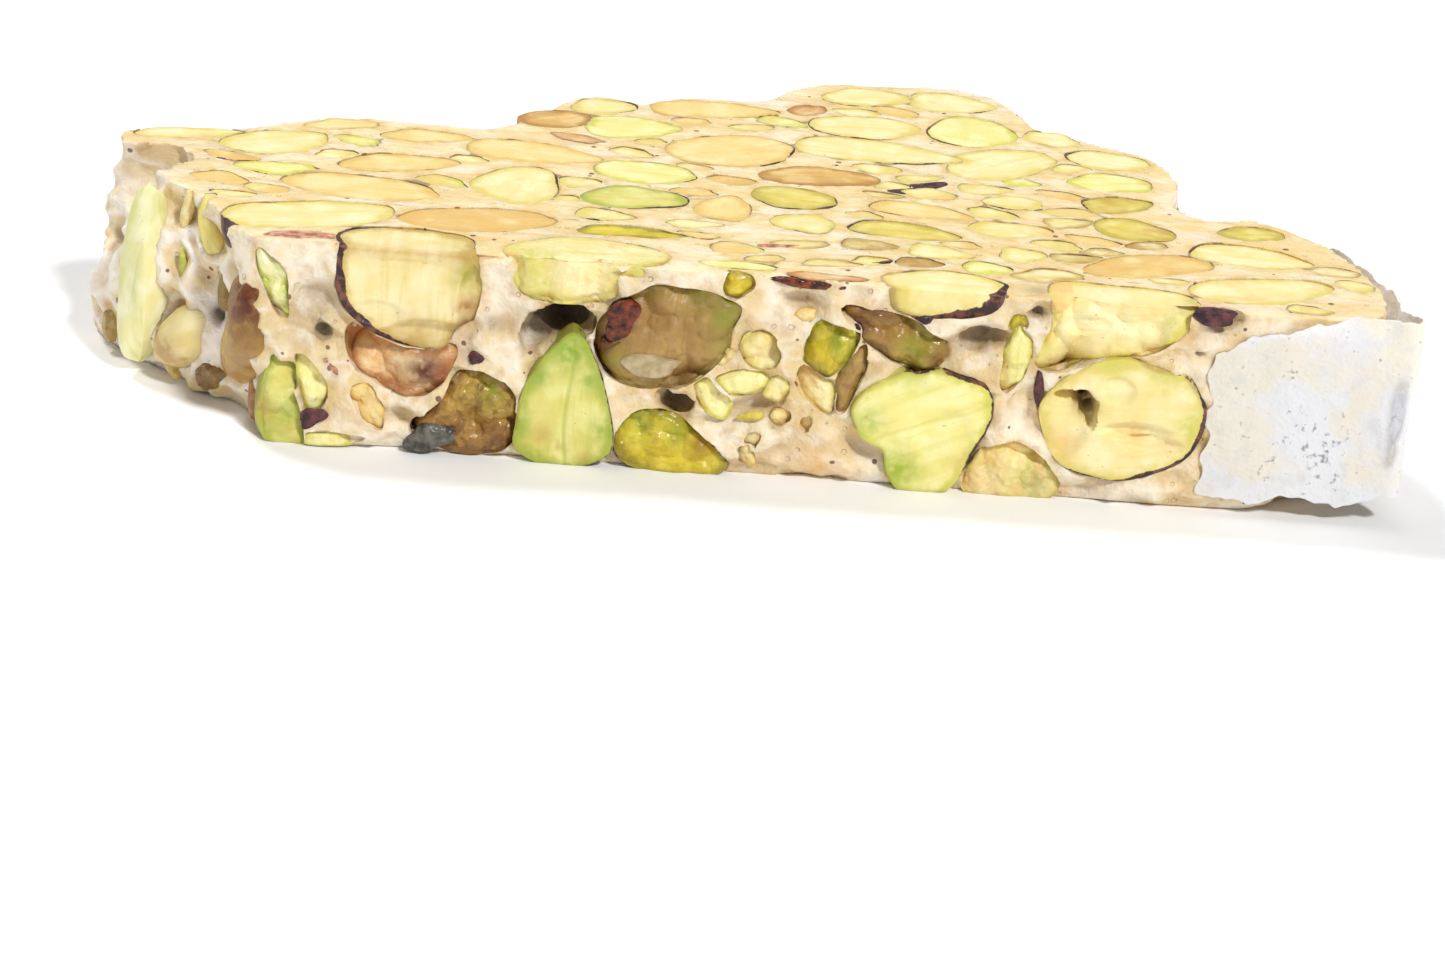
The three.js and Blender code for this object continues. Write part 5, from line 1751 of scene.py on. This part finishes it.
@dataclass
class WaferPaper:
    """The sheet of wafer paper that the slab was pressed on, torn along three edges."""

    plan: SlicePlan
    workshop: Workshop
    thickness: float = 0.14
    steps: int = 150
    rows: int = 80
    line: tuple = ((82.4, -0.62), (88, -0.72), (93, -0.72), (97, -0.9), (99.4, -0.8), (99.9, 0.4),
                   (99.1, 2.4), (99.1, 7), (97.9, 15.2), (95, 22.4), (92.8, 25.2))  # in plan
    length: float = 46  # laid flat
    head_tears: tuple = ((0.3, 2.2, 4), (0.15, 0.7, 5))
    foot_tears: tuple = ((0.45, 2.6, 6), (0.2, 0.8, 7))
    margin: float = 0.01  # kept from the model's box
    foot: float = 0.4  # no part hangs lower

    def _line(self, t: np.ndarray) -> np.ndarray:
        """Find points of the sheet's line in plan.

        Args:
            t: Places along the line, 0 to 1.

        Returns:
            X and Y of each.
        """
        corners = np.array(self.line)
        there_and_back = np.vstack([corners, corners[-2:0:-1]])
        dense = closed_curve(there_and_back, np.linspace(0, 0.5, PLAN_DIVISIONS))
        along = np.concatenate([[0], np.cumsum(np.linalg.norm(np.diff(dense, axis=0), axis=1))])
        return np.column_stack([np.interp(t * along[-1], along, dense[:, k]) for k in (0, 1)])

    def build(self) -> None:
        """Make the piece."""
        bm = bmesh.new()
        bmesh.ops.create_grid(bm, x_segments=self.steps, y_segments=self.rows, size=0.5)
        flat = np.array([v.co for v in bm.verts]) + 0.5
        s, t = flat[:, 0], flat[:, 1]
        line = self._line(s)
        step = self._line(np.minimum(s + 1e-3, 1)) - self._line(np.maximum(s - 1e-3, 0))
        step /= np.linalg.norm(step, axis=1)[:, None]
        out = np.column_stack([step[:, 1], -step[:, 0]])
        x = line[:, 0]
        front = (line[:, 1] < 0) * 1.0
        along = np.column_stack([s * self.length, np.zeros(len(s)), np.zeros(len(s))])
        high = np.interp(s, [0, 0.06, 0.16, 0.25, 0.34, 0.42, 0.6, 1],
                         [14.6, 16.2, 17.4, 18.6, 18.8, 18.6, 18.2, 17.6])
        high += layered(along, self.head_tears)
        low = np.interp(s, [0, 0.1, 0.2, 0.3, 0.36, 0.42, 0.6, 1], [1.2, 1.3, 1.6, 1.8, 3.2, 2.5, 2.6, 3.4])
        low += layered(along, self.foot_tears)
        z = low + (high - low) * t
        ragged = 0.5 * lumps(np.column_stack([np.zeros(len(z)), z, z]), 2.4, 8)
        x = x + ragged * (1 - smoothstep(0, 0.1, s))
        sheet = np.column_stack([x, line[:, 1], z])
        free = smoothstep(0.3, 0.4, s) * (1 - smoothstep(0.5, 0.7, s))
        wave = (0.10 + 0.2 * free) * lumps(sheet * np.array([1, 1, 0.6]), 3.4, 9)
        wave += 0.05 * lumps(sheet, 1.1, 10)
        wave -= 0.18 * front * (1 - smoothstep(0.0, 0.05, s))
        sheet[:, :2] += out * wave[:, None]
        sheet[:, 2] = np.clip(sheet[:, 2], self.foot, HEADROOM)
        for vert, place in zip(bm.verts, sheet):
            vert.co = place
        bmesh.ops.recalc_face_normals(bm, faces=bm.faces)
        bmesh.ops.solidify(bm, geom=bm.faces[:], thickness=self.thickness)
        low, high = cad_box_here()
        for vert in bm.verts:
            vert.co = np.clip(vert.co, low + self.margin, high - self.margin)
        mesh = finished(bm, "paper")
        mesh.shade_smooth()
        mesh.set_sharp_from_angle(angle=math.radians(50))
        self.workshop.place(mesh, "wafer_paper_sheet", self._material(), "wafer_paper", ["wafer_paper"])

    def _material(self) -> bpy.types.Material:
        """Wafer paper: thin pressed starch, matt and milky, with the nougat showing through."""
        made, node = blank_material("starch_wafer_paper")
        place = node(Kind.PLACE).outputs["Object"]
        damp, cloud, fleck, fine, coarse = (
            node(Kind.NOISE, place, per_mm(size), detail)
            for size, detail in ((6.0, 3.0), (2.6, 4.0), (0.6, 5.0), (0.4, 3.0), (2.2, 2.0)))
        # Grey dust is pressed into it, thickest in three spots: X and Z, reach and share.
        dust = 0.0
        for x, z, reach, share in ((92.1, 7, 3.4, 0.15), (88.8, 4.8, 2.2, 0.12), (93.4, 4, 2.6, 0.1)):
            spot = tuple((np.array([x, -0.6, z]) + CORNER) * MM)
            near = node(Kind.RAMP, node(Kind.APART, place, spot), 0.0, reach * MM, share, 0.0)
            dust = node(Kind.PLUS, near, dust)
        fleck = node(Kind.PLUS, fleck, dust)
        colour = node(Kind.BLEND, node(Kind.RAMP, damp, 0.42, 0.6), "#f0f0f4", "#f6ecda")
        colour = node(Kind.BLEND, node(Kind.RAMP, cloud, 0.52, 0.72, 0.0, 0.6), colour, "#d9d8d6")
        colour = node(Kind.BLEND, node(Kind.RAMP, fleck, 0.64, 0.78, 0.0, 0.8), colour, "#85848a")
        bump = node(Kind.BUMP, inputs={"Strength": 0.6, "Distance": 0.2 * MM,
                                       "Height": node(Kind.PLUS, fine, coarse)})
        node(Kind.OUTPUT, node(Kind.SHADER, inputs={
            "Base Color": colour, "Roughness": 0.8, "IOR": 1.4, "Normal": bump, "Subsurface Weight": 0.5,
            "Subsurface Radius": (1.0, 1.0, 1.0), "Subsurface Scale": 0.6 * MM}))
        return made


@dataclass
class Studio:
    """Pale floor, soft light from above and behind, and the camera."""

    floor_size: float = 3.0
    camera_at: tuple = (-9.48, -311.87, 112.28)  # mm in the part's frame
    heading: float = -1.9447
    tilt: float = 68.0
    roll: float = 5.0
    lens: float = 86.6

    def build(self) -> None:
        """Make the floor, lights and camera."""
        bm = bmesh.new()
        bmesh.ops.create_grid(bm, x_segments=1, y_segments=1, size=self.floor_size / 2)
        mesh = finished(bm, "floor")
        floor = bpy.data.objects.new("floor", mesh)
        bpy.context.scene.collection.objects.link(floor)
        mesh.materials.append(self._floor_material())
        self._world()
        self._lamp("key", elevation=58, bearing=50, softness=12, strength=1.65)
        self._lamp("fill", elevation=46, bearing=212, softness=7, strength=2.1)
        self._camera()

    @staticmethod
    def _floor_material() -> bpy.types.Material:
        """A plain pale sheet of card."""
        made = bpy.data.materials.new("white_card")
        made.use_nodes = True
        shader = made.node_tree.nodes["Principled BSDF"]
        shader.inputs["Base Color"].default_value = linear("#fbfbfb")
        shader.inputs["Roughness"].default_value = 0.9
        shader.inputs["Specular IOR Level"].default_value = 0.1
        return made

    @staticmethod
    def _world() -> None:
        """Even white light from all round."""
        world = bpy.data.worlds.new("studio")
        world.use_nodes = True
        world.node_tree.nodes["Background"].inputs["Color"].default_value = (1, 1, 1, 1)
        world.node_tree.nodes["Background"].inputs["Strength"].default_value = 0.34
        bpy.context.scene.world = world
        bpy.context.scene.view_settings.view_transform = "Standard"

    @staticmethod
    def _lamp(name: str, elevation: float, bearing: float, softness: float, strength: float) -> None:
        """A far soft lamp.

        Args:
            name: Its name.
            elevation: Degrees above the floor.
            bearing: Degrees left of straight behind the slice.
            softness: Degrees that it spans in the sky.
            strength: Watts a square metre.
        """
        data = bpy.data.lights.new(name, "SUN")
        data.angle = math.radians(softness)
        data.energy = strength
        lamp = bpy.data.objects.new(name, data)
        lamp.rotation_euler = (math.radians(elevation - 90), 0, math.radians(bearing))
        bpy.context.scene.collection.objects.link(lamp)

    def _camera(self) -> None:
        """The camera."""
        data = bpy.data.cameras.new("camera")
        data.sensor_width = 36.0
        data.lens = self.lens
        data.clip_start = 0.01
        camera = bpy.data.objects.new("camera", data)
        place = Matrix.Translation([c * MM for c in self.camera_at])
        for angle, axis in ((self.heading, "Z"), (self.tilt, "X"), (self.roll, "Z")):
            place = place @ Matrix.Rotation(math.radians(angle), 4, axis)
        camera.matrix_world = place
        bpy.context.scene.collection.objects.link(camera)
        bpy.context.scene.camera = camera


def main() -> None:
    """Build the slice and the studio round it."""
    logging.basicConfig(level=logging.INFO, format="%(message)s")
    plan = SlicePlan()
    workshop = Workshop()
    kernels = KernelSet(plan, workshop)
    kernels.lay_out()
    NougatMass(plan, workshop, kernels).build()
    kernels.build()
    WaferPaper(plan, workshop).build()
    Studio().build()


if __name__ == "__main__":
    main()
